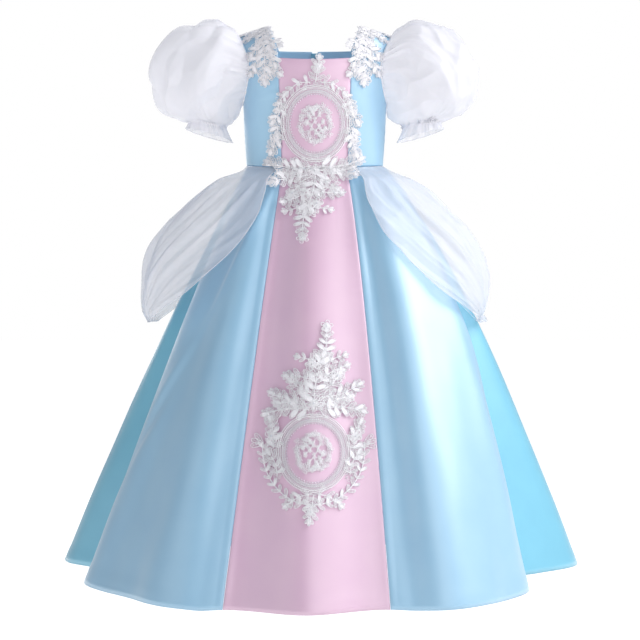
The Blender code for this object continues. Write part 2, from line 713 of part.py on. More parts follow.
def medallion(bm):
    lace_oval(bm)
    for spray in MEDALLION_SPRAYS:
        lace_spray(bm, spray)
    for degrees, length in OVAL_RAYS:
        angle = math.radians(degrees)
        lean = 0.35 if degrees < 90 else -0.35
        x = (OVAL_HALF_WIDTH - 2) * math.cos(angle)
        s = (OVAL_HALF_HEIGHT - 2) * math.sin(angle)
        lace_leaf(bm, x, s, angle + lean, length)
    for x, s, size in BOUQUET:
        lace_bloom(bm, x, s, size, 0.4 * x)
    lace_leaf(bm, 0, -26, math.radians(262), 24)
    lace_leaf(bm, 0, -26, math.radians(278), 24)


def joined_flat(bm, name):
    """Makes overlapping flat shapes into one closed body."""
    bmesh.ops.recalc_face_normals(bm, faces=bm.faces)
    parts = bpy.data.meshes.new(name + "_parts")
    bm.to_mesh(parts)
    bm.free()
    source = bpy.data.objects.new(name + "_parts", parts)
    bpy.context.scene.collection.objects.link(source)
    join = source.modifiers.new("join", "BOOLEAN")
    join.operation = "UNION"
    join.operand_type = "COLLECTION"
    join.collection = bpy.data.collections.new(name + "_none")
    join.solver = "EXACT"
    join.use_self = True
    bpy.context.view_layer.update()
    mesh = bpy.data.meshes.new_from_object(source.evaluated_get(bpy.context.evaluated_depsgraph_get()))
    bpy.data.objects.remove(source)
    bm = bmesh.new()
    bm.from_mesh(mesh)
    bmesh.ops.remove_doubles(bm, verts=bm.verts, dist=0.005)
    bmesh.ops.dissolve_limit(bm, angle_limit=math.radians(0.5), verts=bm.verts, edges=bm.edges)
    bmesh.ops.delete(bm, geom=[edge for edge in bm.edges if edge.is_wire], context="EDGES")
    bmesh.ops.triangulate(bm, faces=bm.faces)
    long_edges = [edge for edge in bm.edges if edge.calc_length() > LACE_LONGEST_EDGE]
    bmesh.ops.subdivide_edges(bm, edges=long_edges, cuts=1)
    bmesh.ops.triangulate(bm, faces=bm.faces)
    bm.to_mesh(mesh)
    bm.free()
    return mesh


def arc_lengths():
    """Distances along the centre front, up from the waist over the shoulder and down the skirt."""
    levels = np.linspace(0, 2, 81)
    up = np.array([torso_point(level, around_at(0.06, level), -1) for level in levels])
    up_along = np.concatenate([[0], np.cumsum(np.linalg.norm(np.diff(up[:, 1:], axis=0), axis=1))])
    depths = np.linspace(0, 1, 81)
    down = np.array([skirt_point(FOLD_AT["centre_front"], depth) for depth in depths])
    down_along = np.concatenate([[0], np.cumsum(np.linalg.norm(np.diff(down[:, 1:], axis=0), axis=1))])
    return levels, up_along, depths, down_along


ARC_TABLE = arc_lengths()


def skirt_place_at(x, depth):
    """The place along the front of the skirt that lies at a distance x from the middle."""
    place, ahead = 0.0, 0.5
    for _ in range(6):
        here, there = skirt_point(place, depth)[0], skirt_point(ahead, depth)[0]
        if abs(there - here) < 1e-9:
            break
        place, ahead = ahead, ahead + (x - there) * (ahead - place) / (there - here)
    return ahead


def front_surface(x, s):
    """A point of the dress's front, by its distance from the middle and along the cloth from the waist."""
    levels, up_along, depths, down_along = ARC_TABLE
    if s >= 0:
        level = float(np.interp(s, up_along, levels))
        return torso_point(level, around_at(x, level), -1)
    depth = float(np.interp(-s, down_along, depths))
    return skirt_point(skirt_place_at(x, depth), depth)


def lace_lift(x, s):
    """How much further out lace lies where it covers the edge of the overskirt."""
    below_waist = eased((0.012 - s) / 0.012) * eased((s - LACE_LIFT_END) / 0.05)
    return LACE_LIFT * eased((abs(x) - 0.042) / 0.016) * below_waist


def laid_on_front(mesh, x, s, hand=1, turned=1):
    """Moves a flat shape in millimetres onto the front of the dress, with its middle at x and s."""
    for vertex in mesh.vertices:
        a = x + turned * vertex.co.x * MM
        b = s + turned * vertex.co.y * MM
        step = 0.4 * MM
        across = front_surface(a + step, b) - front_surface(a - step, b)
        upward = front_surface(a, b + step) - front_surface(a, b - step)
        normal = unit(np.cross(across, upward))
        lift = LACE_GAP + lace_lift(a, b) + vertex.co.z * MM
        point = front_surface(a, b) + normal * lift
        vertex.co = Vector((hand * point[0], point[1], point[2]))
    if hand < 0:
        mesh.flip_normals()
    return mesh


def lace(collection):
    places = (("bodice", 1 * MM, 66 * MM, 1), ("skirt", -1 * MM, -450 * MM, -1))
    for name, x, s, turned in places:
        bm = bmesh.new()
        medallion(bm)
        mesh = laid_on_front(joined_flat(bm, name), x, s, turned=turned)
        add_object(f"lace_{name}", mesh, LACE_WHITE, collection)
    for name, hand in (("left", 1), ("right", -1)):
        bm = bmesh.new()
        for spray in SHOULDER_SPRAYS:
            lace_spray(bm, spray)
        mesh = laid_on_front(joined_flat(bm, name), 72 * MM, 178 * MM, hand)
        add_object(f"lace_shoulder_{name}", mesh, LACE_WHITE, collection)


# Back zip
ZIP_TOP_LEVEL = 1.425
ZIP_END_DEPTH = 0.18
ZIP_HALF_WIDTH = 6 * MM
ZIP_TAPE = 1.0 * MM
ZIP_CLEARANCE = 0.9 * MM
SLIDER_LEVEL = 1.36
SLIDER_LENGTH = 9 * MM
SLIDER_WIDTH = 5 * MM
SLIDER_BODY = 1.8 * MM
BRIDGE_WIDTH = 1.6 * MM
PULL_PIVOT_HEIGHT = 1.1 * MM


def zip_chain(collection):
    """The closed zip: one strip behind the centre back, from the neck to below the waist."""
    centre = FOLD_AT["centre_back"]

    def bodice_back(level, x):
        return torso_point(level, around_at(x, level), 1)

    def skirt_back(depth, x):
        pace = skirt_point(centre + 0.05, depth) - skirt_point(centre - 0.05, depth)
        return skirt_point(centre - x * 0.1 / np.linalg.norm(pace), depth)

    rows = [(bodice_back, level) for level in np.linspace(ZIP_TOP_LEVEL, 0.1, 7)]
    rows += [(bodice_back, 0.002), (skirt_back, 0.02), (skirt_back, 0.06), (skirt_back, 0.12)]
    rows.append((skirt_back, ZIP_END_DEPTH))
    columns = [(-1, 1), (-0.2, 1.6), (0.2, 1.6), (1, 1)]
    outer = np.zeros((len(rows), len(columns), 3))
    inner = outer.copy()
    for i, (surface, at) in enumerate(rows):
        behind = SATIN + ZIP_CLEARANCE * (3 if at < 0.05 else 1)
        for j, (across, thick) in enumerate(columns):
            x = across * ZIP_HALF_WIDTH
            normal = outward(surface, at, x, np.array([0, 0, surface(at, x)[2] - 0.02]))
            outer[i, j] = surface(at, x) - normal * behind
            inner[i, j] = outer[i, j] - normal * ZIP_TAPE * thick
    add_object("zip_chain", wall_mesh("zip_chain", outer, inner), ZIP_BLUE, collection)


def slider_frame():
    """The slider's place: x across, y out from the cloth, z up along it."""
    point = torso_point(SLIDER_LEVEL, 0, 1)
    out = outward(lambda p, q: torso_point(p, q, 1), SLIDER_LEVEL, 0.0, np.array([0, 0, -0.1]))
    up = unit(np.cross([1, 0, 0], out))
    base = point + out * (SLIDER_BODY + 0.35 * MM)
    turn = Matrix([Vector((1, 0, 0)), Vector(out), Vector(up)]).transposed()
    return Matrix.Translation(Vector(base)) @ turn.to_4x4()


def flat_outline(name, loops, thickness, turn, place):
    """A plate from closed flat loops of millimetres, the first outside and the others holes."""
    curve = bpy.data.curves.new(name, "CURVE")
    curve.dimensions = "2D"
    curve.fill_mode = "BOTH"
    curve.extrude = thickness / 2
    for loop in loops:
        spline = curve.splines.new("POLY")
        spline.points.add(len(loop) - 1)
        for point, (a, b) in zip(spline.points, loop):
            point.co = (a * MM, b * MM, 0, 1)
        spline.use_cyclic_u = True
    source = bpy.data.objects.new(name, curve)
    bpy.context.scene.collection.objects.link(source)
    bpy.context.view_layer.update()
    mesh = bpy.data.meshes.new_from_object(source.evaluated_get(bpy.context.evaluated_depsgraph_get()))
    bpy.data.objects.remove(source)
    bm = bmesh.new()
    bm.from_mesh(mesh)
    bmesh.ops.remove_doubles(bm, verts=bm.verts, dist=1e-6)
    bmesh.ops.transform(bm, matrix=place @ turn, verts=bm.verts)
    bmesh.ops.recalc_face_normals(bm, faces=bm.faces)
    bm.to_mesh(mesh)
    bm.free()
    return mesh


def zip_slider(collection):
    frame = slider_frame()
    body = bpy.data.meshes.new("zip_slider")
    bm = bmesh.new()
    bmesh.ops.create_cube(bm, size=1)
    bmesh.ops.scale(bm, vec=(SLIDER_WIDTH, SLIDER_BODY, SLIDER_LENGTH), verts=bm.verts)
    bmesh.ops.translate(bm, vec=(0, -SLIDER_BODY / 2, 0), verts=bm.verts)
    edges = [e for e in bm.edges if abs((e.verts[0].co - e.verts[1].co).y) > SLIDER_BODY / 2]
    bmesh.ops.bevel(bm, geom=edges, offset=1.2 * MM, segments=2, profile=0.5, affect="EDGES")
    bmesh.ops.transform(bm, matrix=frame, verts=bm.verts)
    bm.to_mesh(body)
    bm.free()

    # The bridge is drawn from the side: its feet stand in the body
    outside = [(-3.3, -0.8), (3.3, -0.8), (3.3, 2.0), (2.4, 3.2), (-2.4, 3.2), (-3.3, 2.0)]
    inside = [(-2.2, 0.0), (2.2, 0.0), (2.2, 1.6), (1.7, 2.2), (-1.7, 2.2), (-2.2, 1.6)]
    turn = Matrix(((0, 0, 1, 0), (0, 1, 0, 0), (-1, 0, 0, 0), (0, 0, 0, 1)))
    lifted = [(a, b + 0.001) for a, b in inside]
    bridge = flat_outline("zip_bridge", [outside, lifted], BRIDGE_WIDTH, turn, frame)

    slider = add_object("zip_slider", body, ZIP_METAL, collection)
    cutters = bpy.data.collections.new("cutters")
    bpy.context.scene.collection.children.link(cutters)
    helper = add_object("zip_bridge_shape", bridge, ZIP_METAL, cutters)
    helper.hide_render = True
    helper.display_type = "WIRE"
    union = slider.modifiers.new("bridge", "BOOLEAN")
    union.operation = "UNION"
    union.solver = "EXACT"
    union.object = helper


def zip_pull(collection):
    """The pull hangs by its crossbar from the slider's bridge."""
    frame = slider_frame() @ Matrix.Translation((0, PULL_PIVOT_HEIGHT, 0))
    outline = [(-2.3, 0.3), (-1.8, 0.7), (1.8, 0.7), (2.3, 0.3), (2.4, -4.6), (1.9, -7.0)]
    outline += [(2.4, -13.5), (1.7, -15.8), (0, -16.6), (-1.7, -15.8), (-2.4, -13.5)]
    outline += [(-1.9, -7.0), (-2.4, -4.6)]
    hole = [(-1.25, -0.6), (1.25, -0.6), (1.25, -4.0), (0.8, -4.5), (-0.8, -4.5), (-1.25, -4.0)]
    turn = Matrix(((1, 0, 0, 0), (0, 0, 1, 0), (0, 1, 0, 0), (0, 0, 0, 1)))
    mesh = flat_outline("zip_pull", [outline, hole], 0.9 * MM, turn, Matrix.Identity(4))
    pull = add_object("zip_pull", mesh, ZIP_METAL, collection)
    pull.matrix_world = frame


def main():
    for old in list(bpy.data.objects):
        bpy.data.objects.remove(old)
    collection = bpy.data.collections.new("party_dress")
    bpy.context.scene.collection.children.link(collection)
    bodice(collection)
    skirt(collection)
    for name, hand in (("left", 1), ("right", -1)):
        peplum(f"peplum_{name}", hand, collection)
        sleeve(f"sleeve_{name}", hand, collection)
    lace(collection)
    zip_chain(collection)
    zip_slider(collection)
    zip_pull(collection)


main()
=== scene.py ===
import math
from collections import namedtuple

import bpy
import numpy as np
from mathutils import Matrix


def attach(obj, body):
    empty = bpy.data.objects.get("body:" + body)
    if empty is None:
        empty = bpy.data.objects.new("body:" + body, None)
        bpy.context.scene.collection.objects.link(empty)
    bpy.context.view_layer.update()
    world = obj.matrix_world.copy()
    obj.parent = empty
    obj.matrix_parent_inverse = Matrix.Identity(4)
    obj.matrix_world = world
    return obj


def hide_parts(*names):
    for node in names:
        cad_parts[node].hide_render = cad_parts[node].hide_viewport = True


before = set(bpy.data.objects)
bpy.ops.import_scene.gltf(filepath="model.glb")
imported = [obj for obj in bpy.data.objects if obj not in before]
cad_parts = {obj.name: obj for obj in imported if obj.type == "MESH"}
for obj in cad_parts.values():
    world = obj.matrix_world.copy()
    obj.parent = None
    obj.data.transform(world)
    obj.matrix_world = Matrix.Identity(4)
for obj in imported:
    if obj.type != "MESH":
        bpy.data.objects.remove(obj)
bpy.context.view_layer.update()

mm = 0.001
print("frame loaded,", len(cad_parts), "nodes")

# The dress's driving sizes, in metres; heights run down from the shoulder seams
waistHeight = -0.215
waistDip = 0.010
hemHeight = -0.851
arcHeight = -0.075
arcHalfWidth = 0.130
shoulderSlope = 0.33
neckHalfAtShoulder = 0.073
neckHalfFront = 0.055
neckHalfBack = 0.057
# Levels of the torso: 0 is the waist, 1 the start of the shoulder arc, 2 the shoulder seam
frontNeckLevel = 1.155
frontNeckScoop = 0.030
backNeckLevel = 1.44
underarmLevel = 0.69
armholeWideLevel = 1.25
armholeWide = math.radians(58)
armholeTop = math.radians(66)
satinThickness = 1.2 * mm
organzaThickness = 0.5 * mm
seamGap = 0.3 * mm

Torso = namedtuple("Torso", "height halfWidth frontDepth backDepth")
torso = [
    Torso(-0.215, 0.1055, 0.0780, 0.0740),
    Torso(-0.165, 0.1090, 0.0800, 0.0755),
    Torso(-0.118, 0.1110, 0.0812, 0.0765),
    Torso(-0.075, 0.1150, 0.0800, 0.0755),
]

# The skirt's fold lines, anticlockwise seen from above from the centre front
Fold = namedtuple("Fold", "name waistDeg hemX hemY bell")
folds = [
    Fold("frontCentre", -3, -0.010, -0.327, 0.80),
    Fold("frontSeamLeft", 27.5, 0.105, -0.283, 0.72),
    Fold("frontValleyLeft", 33, 0.134, -0.288, 0.72),
    Fold("frontRollLeft", 41, 0.180, -0.289, 0.62),
    Fold("frontCrestLeft", 52, 0.246, -0.240, 0.54),
    Fold("frontEdgeLeft", 66, 0.308, -0.150, 0.46),
    Fold("frontLipLeft", 76, 0.316, -0.082, 0.46),
    Fold("sideSeamLeft", 86, 0.288, -0.022, 0.62),
    Fold("backLipLeft", 95, 0.350, 0.036, 0.66),
    Fold("backEdgeLeft", 104, 0.425, 0.122, 0.66),
    Fold("backCrestLeft", 112, 0.424, 0.190, 0.66),
    Fold("backValleyLeft", 122, 0.338, 0.214, 0.80),
    Fold("rearCrestLeft", 134, 0.300, 0.308, 0.72),
    Fold("rearValleyLeft", 147, 0.196, 0.292, 0.85),
    Fold("tailCrestLeft", 159, 0.134, 0.352, 0.75),
    Fold("backCentre", 180, 0.000, 0.322, 0.85),
    Fold("tailCrestRight", 202, -0.142, 0.350, 0.78),
    Fold("rearValleyRight", 214, -0.204, 0.288, 0.88),
    Fold("rearCrestRight", 226, -0.306, 0.300, 0.75),
    Fold("backValleyRight", 237, -0.344, 0.228, 0.82),
    Fold("backCrestRight", 247, -0.414, 0.220, 0.84),
    Fold("backEdgeRight", 255, -0.410, 0.158, 0.84),
    Fold("backLipRight", 264, -0.352, 0.092, 0.84),
    Fold("sideSeamRight", 273, -0.300, 0.036, 0.80),
    Fold("frontLipRight", 283, -0.346, 0.008, 0.92),
    Fold("frontEdgeRight", 293, -0.350, -0.050, 0.92),
    Fold("frontCrestRight", 307, -0.266, -0.190, 0.84),
    Fold("frontRollRight", 320, -0.196, -0.272, 0.80),
    Fold("frontValleyRight", 327, -0.154, -0.288, 0.86),
    Fold("frontSeamRight", 332.5, -0.126, -0.284, 0.92),
]
foldAt = {fold.name: place for place, fold in enumerate(folds)}
bellStart = 0.03

# The sheer overskirt of each hip: rows run down from the waist, edges are angles from the front
Peplum = namedtuple("Peplum", "height halfWidth halfDepth frontDeg backDeg")
peplumRows = [
    Peplum(-0.2155, 0.1080, 0.0810, 31, 150),
    Peplum(-0.2360, 0.1490, 0.0990, 27, 153),
    Peplum(-0.2570, 0.1780, 0.1130, 24, 156),
    Peplum(-0.2850, 0.2080, 0.1270, 23, 157),
    Peplum(-0.3110, 0.2310, 0.1390, 24, 156),
    Peplum(-0.3400, 0.2500, 0.1520, 28, 152),
    Peplum(-0.3800, 0.2640, 0.1680, 36, 145),
    Peplum(-0.4150, 0.2670, 0.1810, 47, 134),
    Peplum(-0.4380, 0.2640, 0.1880, 61, 120),
    Peplum(-0.4550, 0.2560, 0.1920, 76, 104),
]

# The puff sleeve: rows run from the armhole to the frill, across the arm in the X-Z plane
Puff = namedtuple("Puff", "along outerX outerZ innerX innerZ depth")
puffRows = [
    Puff(0.00, 0.119, -0.014, 0.1115, -0.117, 0.040),
    Puff(0.09, 0.128, 0.004, 0.1125, -0.122, 0.060),
    Puff(0.20, 0.158, 0.018, 0.1135, -0.127, 0.072),
    Puff(0.34, 0.202, 0.007, 0.1150, -0.132, 0.078),
    Puff(0.47, 0.238, -0.026, 0.1170, -0.137, 0.079),
    Puff(0.60, 0.257, -0.070, 0.1190, -0.141, 0.077),
    Puff(0.71, 0.251, -0.108, 0.1220, -0.146, 0.070),
    Puff(0.81, 0.232, -0.134, 0.1260, -0.150, 0.058),
    Puff(0.89, 0.206, -0.143, 0.1340, -0.153, 0.040),
    Puff(0.93, 0.197, -0.146, 0.1350, -0.158, 0.038),
    Puff(1.00, 0.201, -0.156, 0.1265, -0.177, 0.043),
]


# Curves and blends that take whole arrays
def smoothCurve(keys, values, at):
    keys, values, at = (np.asarray(given, float) for given in (keys, values, at))
    if keys[0] > keys[-1]:
        keys, values = keys[::-1], values[::-1]
    last = len(keys) - 1
    low = np.maximum(np.arange(last + 1) - 1, 0)
    high = np.minimum(np.arange(last + 1) + 1, last)
    slopes = (values[high] - values[low]) / (keys[high] - keys[low])
    i = np.clip(np.searchsorted(keys, at) - 1, 0, last - 1)
    step = keys[i + 1] - keys[i]
    u = (at - keys[i]) / step
    return (
        (2 * u**3 - 3 * u**2 + 1) * values[i]
        + (u**3 - 2 * u**2 + u) * step * slopes[i]
        + (3 * u**2 - 2 * u**3) * values[i + 1]
        + (u**3 - u**2) * step * slopes[i + 1]
    )


def tableColumn(table, key, value, at):
    return smoothCurve([getattr(row, key) for row in table], [getattr(row, value) for row in table], at)


def mix(low, high, share):
    return low + (high - low) * share


def eased(share):
    share = np.clip(share, 0, 1)
    return share * share * (3 - 2 * share)


def lengths(vectors):
    return np.linalg.norm(vectors, axis=-1)


def units(vectors):
    return vectors / np.maximum(lengths(vectors), 1e-12)[..., None]


def softNoise(places, seed, wavelength, waves=7):
    # Smooth random waves over places in metres, of any dimension, from about -1 to 1
    chance = np.random.default_rng(seed)
    total = np.zeros(places.shape[:-1])
    for _ in range(waves):
        direction = units(chance.normal(size=places.shape[-1]))
        pace = 2 * math.pi / (wavelength * chance.uniform(0.7, 1.6))
        total = total + np.sin(places @ direction * pace + chance.uniform(0, 2 * math.pi))
    return total / waves**0.5 / 1.6


def crumpled(places, seed, wavelength):
    # Flat facets that meet at sharp ridges, as stiff sheer cloth crumples, from about -0.6 to 0.4
    return 0.4 - np.abs(softNoise(places, seed, wavelength)) ** 0.8


def softMin(values, limit, blend):
    return limit - blend * np.logaddexp(0, (limit - values) / blend)


# The torso that the bodice is cut for
def torsoPoint(level, around, side):
    level, around = np.broadcast_arrays(np.asarray(level, float), np.asarray(around, float))
    arc = np.maximum(level - 1, 0) * math.pi / 2
    height = mix(waistHeight, arcHeight, np.minimum(level, 1))
    halfWidth = mix(tableColumn(torso, "height", "halfWidth", height), arcHalfWidth, np.sin(arc))
    depth = tableColumn(torso, "height", "frontDepth" if side < 0 else "backDepth", height)
    x = halfWidth * np.sin(around)
    y = side * depth * np.cos(arc) * np.cos(around)
    outsideNeck = np.maximum(np.abs(x) - neckHalfAtShoulder, 0)
    z = height - arcHeight * np.sin(arc) - shoulderSlope * outsideNeck * np.sin(arc)
    z = z - waistDrop(around, side) * (1 - np.minimum(level, 1))
    return np.stack([x, y, z], -1)


def waistDrop(around, side):
    return np.where(np.asarray(side) < 0, waistDip * np.cos(around) ** 2, 0)


def aroundAt(x, level):
    halfWidth = torsoPoint(level, math.pi / 2, -1)[..., 0]
    return np.arcsin(np.clip(x / halfWidth, -1, 1))


def armholeAround(level):
    level = np.asarray(level, float)
    share = np.clip((level - underarmLevel) / (armholeWideLevel - underarmLevel), 0, 1)
    lower = mix(math.pi / 2, armholeWide, np.sqrt(1 - (1 - share) ** 2))
    upper = mix(armholeWide, armholeTop, (level - armholeWideLevel) / (2 - armholeWideLevel))
    return np.where(level <= underarmLevel, math.pi / 2, np.where(level < armholeWideLevel, lower, upper))


def neckX(level, neckLevel, halfWidth):
    share = np.maximum(level - neckLevel, 0) / (2 - neckLevel)
    return mix(halfWidth, neckHalfAtShoulder, share)


# The skirt
def bell(depth, power):
    start = bellStart**power
    return ((np.maximum(depth, 0) + bellStart) ** power - start) / ((1 + bellStart) ** power - start)


def waistPoint(degrees):
    turn = math.radians(degrees)
    return torsoPoint(0, math.asin(math.sin(turn)), -1 if math.cos(turn) > 0 else 1)


waistNodes = np.array([waistPoint(fold.waistDeg) for fold in folds])
hemX, hemY, bells = (np.array([getattr(fold, key) for fold in folds]) for key in ("hemX", "hemY", "bell"))


def foldNodes(index, depth):
    index = index % len(folds)
    top, share = waistNodes[index], bell(depth, bells[index])
    x, y = mix(top[..., 0], hemX[index], share), mix(top[..., 1], hemY[index], share)
    return np.stack([x, y, mix(top[..., 2], hemHeight, depth)], -1)


def heading(before, here, after):
    near, far = lengths(here - before)[..., None], lengths(after - here)[..., None]
    return ((here - before) * far / near + (after - here) * near / far) / (near + far)


def skirtPoint(place, depth):
    place, depth = np.broadcast_arrays(np.asarray(place, float), np.asarray(depth, float))
    start = np.floor(place).astype(int)
    u = (place - start)[..., None]
    before, here, after, last = (foldNodes(start + k, depth) for k in (-1, 0, 1, 2))
    span = lengths(after - here)[..., None]
    return (
        (2 * u**3 - 3 * u**2 + 1) * here
        + (u**3 - 2 * u**2 + u) * heading(before, here, after) * span
        + (3 * u**2 - 2 * u**3) * after
        + (u**3 - u**2) * heading(here, after, last) * span
    )


def skirtDepthAt(height):
    return (waistHeight - height) / (waistHeight - hemHeight)


# Cloth: a grid of outer points becomes a thin closed shell
def gridNormals(grid, middle, ring=False):
    down = np.gradient(grid, axis=0)
    across = (np.roll(grid, -1, 1) - np.roll(grid, 1, 1)) / 2 if ring else np.gradient(grid, axis=1)
    normals = units(np.cross(across, down))
    return normals if np.sum(normals * (grid - middle)) > 0 else -normals


def clothMeasure(grid, ring=False):
    # Distances over the cloth, in metres: across from the middle column, and down from the top row
    steps = lengths(np.diff(np.concatenate([grid, grid[:, :1]], 1) if ring else grid, axis=1))
    across = np.concatenate([np.zeros((len(grid), 1)), np.cumsum(steps, axis=1)], 1)
    across -= across[:, across.shape[1] // 2][:, None]
    down = np.concatenate([np.zeros((1, grid.shape[1])), np.cumsum(lengths(np.diff(grid, axis=0)), axis=0)])
    if ring:
        down = np.concatenate([down, down[:, :1]], 1)
    return np.stack([across, down], -1)


def meshObject(name, points, faces, material, smooth=True):
    mesh = bpy.data.meshes.new(name)
    mesh.from_pydata(points.tolist(), [], faces)
    mesh.polygons.foreach_set("use_smooth", [smooth] * len(mesh.polygons))
    mesh.materials.append(material)
    made = bpy.data.objects.new(name, mesh)
    bpy.context.scene.collection.objects.link(made)
    return made


def clothShell(name, outer, normals, thickness, material, measure, ring=False, keep=None):
    rows, columns = outer.shape[:2]
    size = rows * columns
    points = np.concatenate([outer.reshape(-1, 3), (outer - normals * thickness).reshape(-1, 3)])
    i, j = np.meshgrid(np.arange(rows - 1), np.arange(columns if ring else columns - 1), indexing="ij")
    n = (j + 1) % columns

    def quads(wide, beside):
        corners = [i * wide + j, i * wide + beside, (i + 1) * wide + beside, (i + 1) * wide + j]
        return np.stack(corners, -1).reshape(-1, 4)

    cells, uvCells = quads(columns, n), quads(measure.shape[1], j + 1)
    if keep is not None:
        cells, uvCells = cells[keep.reshape(-1)], uvCells[keep.reshape(-1)]
    first = points[cells[0]]
    if np.dot(np.cross(first[1] - first[0], first[2] - first[1]), normals.reshape(-1, 3)[cells[0, 0]]) < 0:
        cells, uvCells = cells[:, ::-1], uvCells[:, ::-1]
    starts, ends = cells.reshape(-1), np.roll(cells, -1, 1).reshape(-1)
    uvStarts, uvEnds = uvCells.reshape(-1), np.roll(uvCells, -1, 1).reshape(-1)
    keys = np.minimum(starts, ends) * size + np.maximum(starts, ends)
    _, places, counts = np.unique(keys, return_inverse=True, return_counts=True)
    rim = counts[places.reshape(-1)] == 1
    a, b = starts[rim], ends[rim]
    rims = np.stack([b, a, a + size, b + size], -1)
    uvRims = np.stack([uvEnds[rim], uvStarts[rim], uvStarts[rim], uvEnds[rim]], -1)
    faces = np.concatenate([cells, cells[:, ::-1] + size, rims])
    uvFaces = np.concatenate([uvCells, uvCells[:, ::-1], uvRims])
    used = np.unique(faces)
    renamed = np.zeros(2 * size, int)
    renamed[used] = np.arange(len(used))
    made = meshObject(name, points[used], renamed[faces].tolist(), material)
    layer = made.data.uv_layers.new(name="cloth")
    corners = measure.reshape(-1, 2)[uvFaces.reshape(-1)]
    layer.data.foreach_set("uv", corners.astype(np.float32).reshape(-1))
    return made


# A soft fold of cloth: it runs down its panel from one place to another, in shares across and down.
# It grows from its width to its end width, in metres, and rises by the lean times that.
SoftFold = namedtuple("SoftFold", "acrossTop top acrossEnd end width endWidth lean")


def foldedOut(across, down, rowWidth, softFolds):
    total = np.zeros(across.shape)
    for fold in softFolds:
        share = np.clip((down - fold.top) / (fold.end - fold.top), -0.3, 1.3)
        away = (across - mix(fold.acrossTop, fold.acrossEnd, share)) * rowWidth
        width = mix(fold.width, fold.endWidth, np.clip(share, 0, 1))
        fade = eased(share / 0.25 + 0.4) * eased((1 - share) / 0.25 + 0.4)
        total = total + fold.lean * width * fade * np.exp(-((away / width) ** 2))
    return total


def wear(piece, slotName, *nodes):
    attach(piece, "dress")
    if nodes:
        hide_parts(*nodes)
    return piece


# Materials
def newMaterial(name, colour, sockets):
    made = bpy.data.materials.new(name)
    made.use_nodes = True
    shader = made.node_tree.nodes["Principled BSDF"]
    for socket, value in {"Base Color": (*colour, 1), **sockets}.items():
        shader.inputs[socket].default_value = value
    return made, made.node_tree, shader


def addNode(tree, kind, inputs=None, **settings):
    made = tree.nodes.new(kind)
    for key, value in settings.items():
        setattr(made, key, value)
    for key, value in (inputs or {}).items():
        if isinstance(value, bpy.types.NodeSocket):
            tree.links.new(value, made.inputs[key])
        else:
            made.inputs[key].default_value = value
    return made


def mottled(tree, shader, vector, colour, tint, size):
    # The colour drifts a little towards a tint, as a large soft cloud
    cloud = addNode(tree, "ShaderNodeTexNoise", {"Vector": vector, "Scale": 1 / size, "Detail": 3.0})
    ramp = addNode(tree, "ShaderNodeMapRange", {
        "Value": cloud.outputs["Fac"], "From Min": 0.35, "From Max": 0.7,
    })
    mixed = addNode(tree, "ShaderNodeMixRGB", {
        "Fac": ramp.outputs["Result"], "Color1": (*colour, 1), "Color2": (*tint, 1),
    })
    tree.links.new(mixed.outputs["Color"], shader.inputs["Base Color"])


def bumped(tree, shader, height, distance, strength=1.0, normal=None):
    inputs = {"Height": height, "Distance": distance, "Strength": strength}
    if normal:
        inputs["Normal"] = normal
    made = addNode(tree, "ShaderNodeBump", inputs)
    tree.links.new(made.outputs["Normal"], shader.inputs["Normal"])
    return made.outputs["Normal"]


def threadWave(tree, vector, spacing, direction, distortion=0.0):
    # Threads that far apart: at scale 1 the texture's bands are 0.314 apart
    wave = addNode(tree, "ShaderNodeTexWave", {
        "Vector": vector, "Scale": 0.314 / spacing, "Distortion": distortion,
    }, bands_direction=direction)
    return wave.outputs["Fac"]


def objectPlace(tree):
    return addNode(tree, "ShaderNodeTexCoord").outputs["Object"]


def clothPlace(tree):
    return addNode(tree, "ShaderNodeUVMap", uv_map="cloth").outputs["UV"]


satinFinish = {
    "threadSpacing": 0.45 * mm, "threadDepth": 0.012 * mm, "threadStrength": 0.6,
    "slubLength": 9 * mm, "slubDepth": 0.035 * mm, "slubStretch": 6.0, "cloud": 0.06,
    "sockets": {
        "Roughness": 0.42, "Sheen Weight": 0.15, "Sheen Roughness": 0.45, "Specular IOR Level": 0.9,
        "Coat Weight": 1.0, "Coat Roughness": 0.48, "Coat IOR": 1.85,
    },
}


def satinMaterial(name, colour, tint):
    made, tree, shader = newMaterial(name, colour, satinFinish["sockets"])
    cloth = clothPlace(tree)
    mottled(tree, shader, cloth, colour, tint, satinFinish["cloud"])
    stretch = (satinFinish["slubStretch"], 1.0, 1.0)
    long = addNode(tree, "ShaderNodeMapping", {"Vector": cloth, "Scale": stretch})
    slub = addNode(tree, "ShaderNodeTexNoise", {
        "Vector": long.outputs["Vector"], "Scale": 1 / satinFinish["slubLength"], "Detail": 4.0,
    })
    softly = bumped(tree, shader, slub.outputs["Fac"], satinFinish["slubDepth"])
    threads = threadWave(tree, cloth, satinFinish["threadSpacing"], "DIAGONAL", 0.6)
    bumped(tree, shader, threads, satinFinish["threadDepth"], satinFinish["threadStrength"], softly)
    return made


organzaFinish = {
    "threadSpacing": 0.6 * mm, "threadDepth": 0.03 * mm, "threadStrength": 0.5, "shade": 0.965, "cloud": 0.05,
    "sockets": {
        "Roughness": 0.42, "Alpha": 0.30, "Sheen Weight": 0.5, "Sheen Roughness": 0.35,
        "Specular IOR Level": 0.45,
    },
}


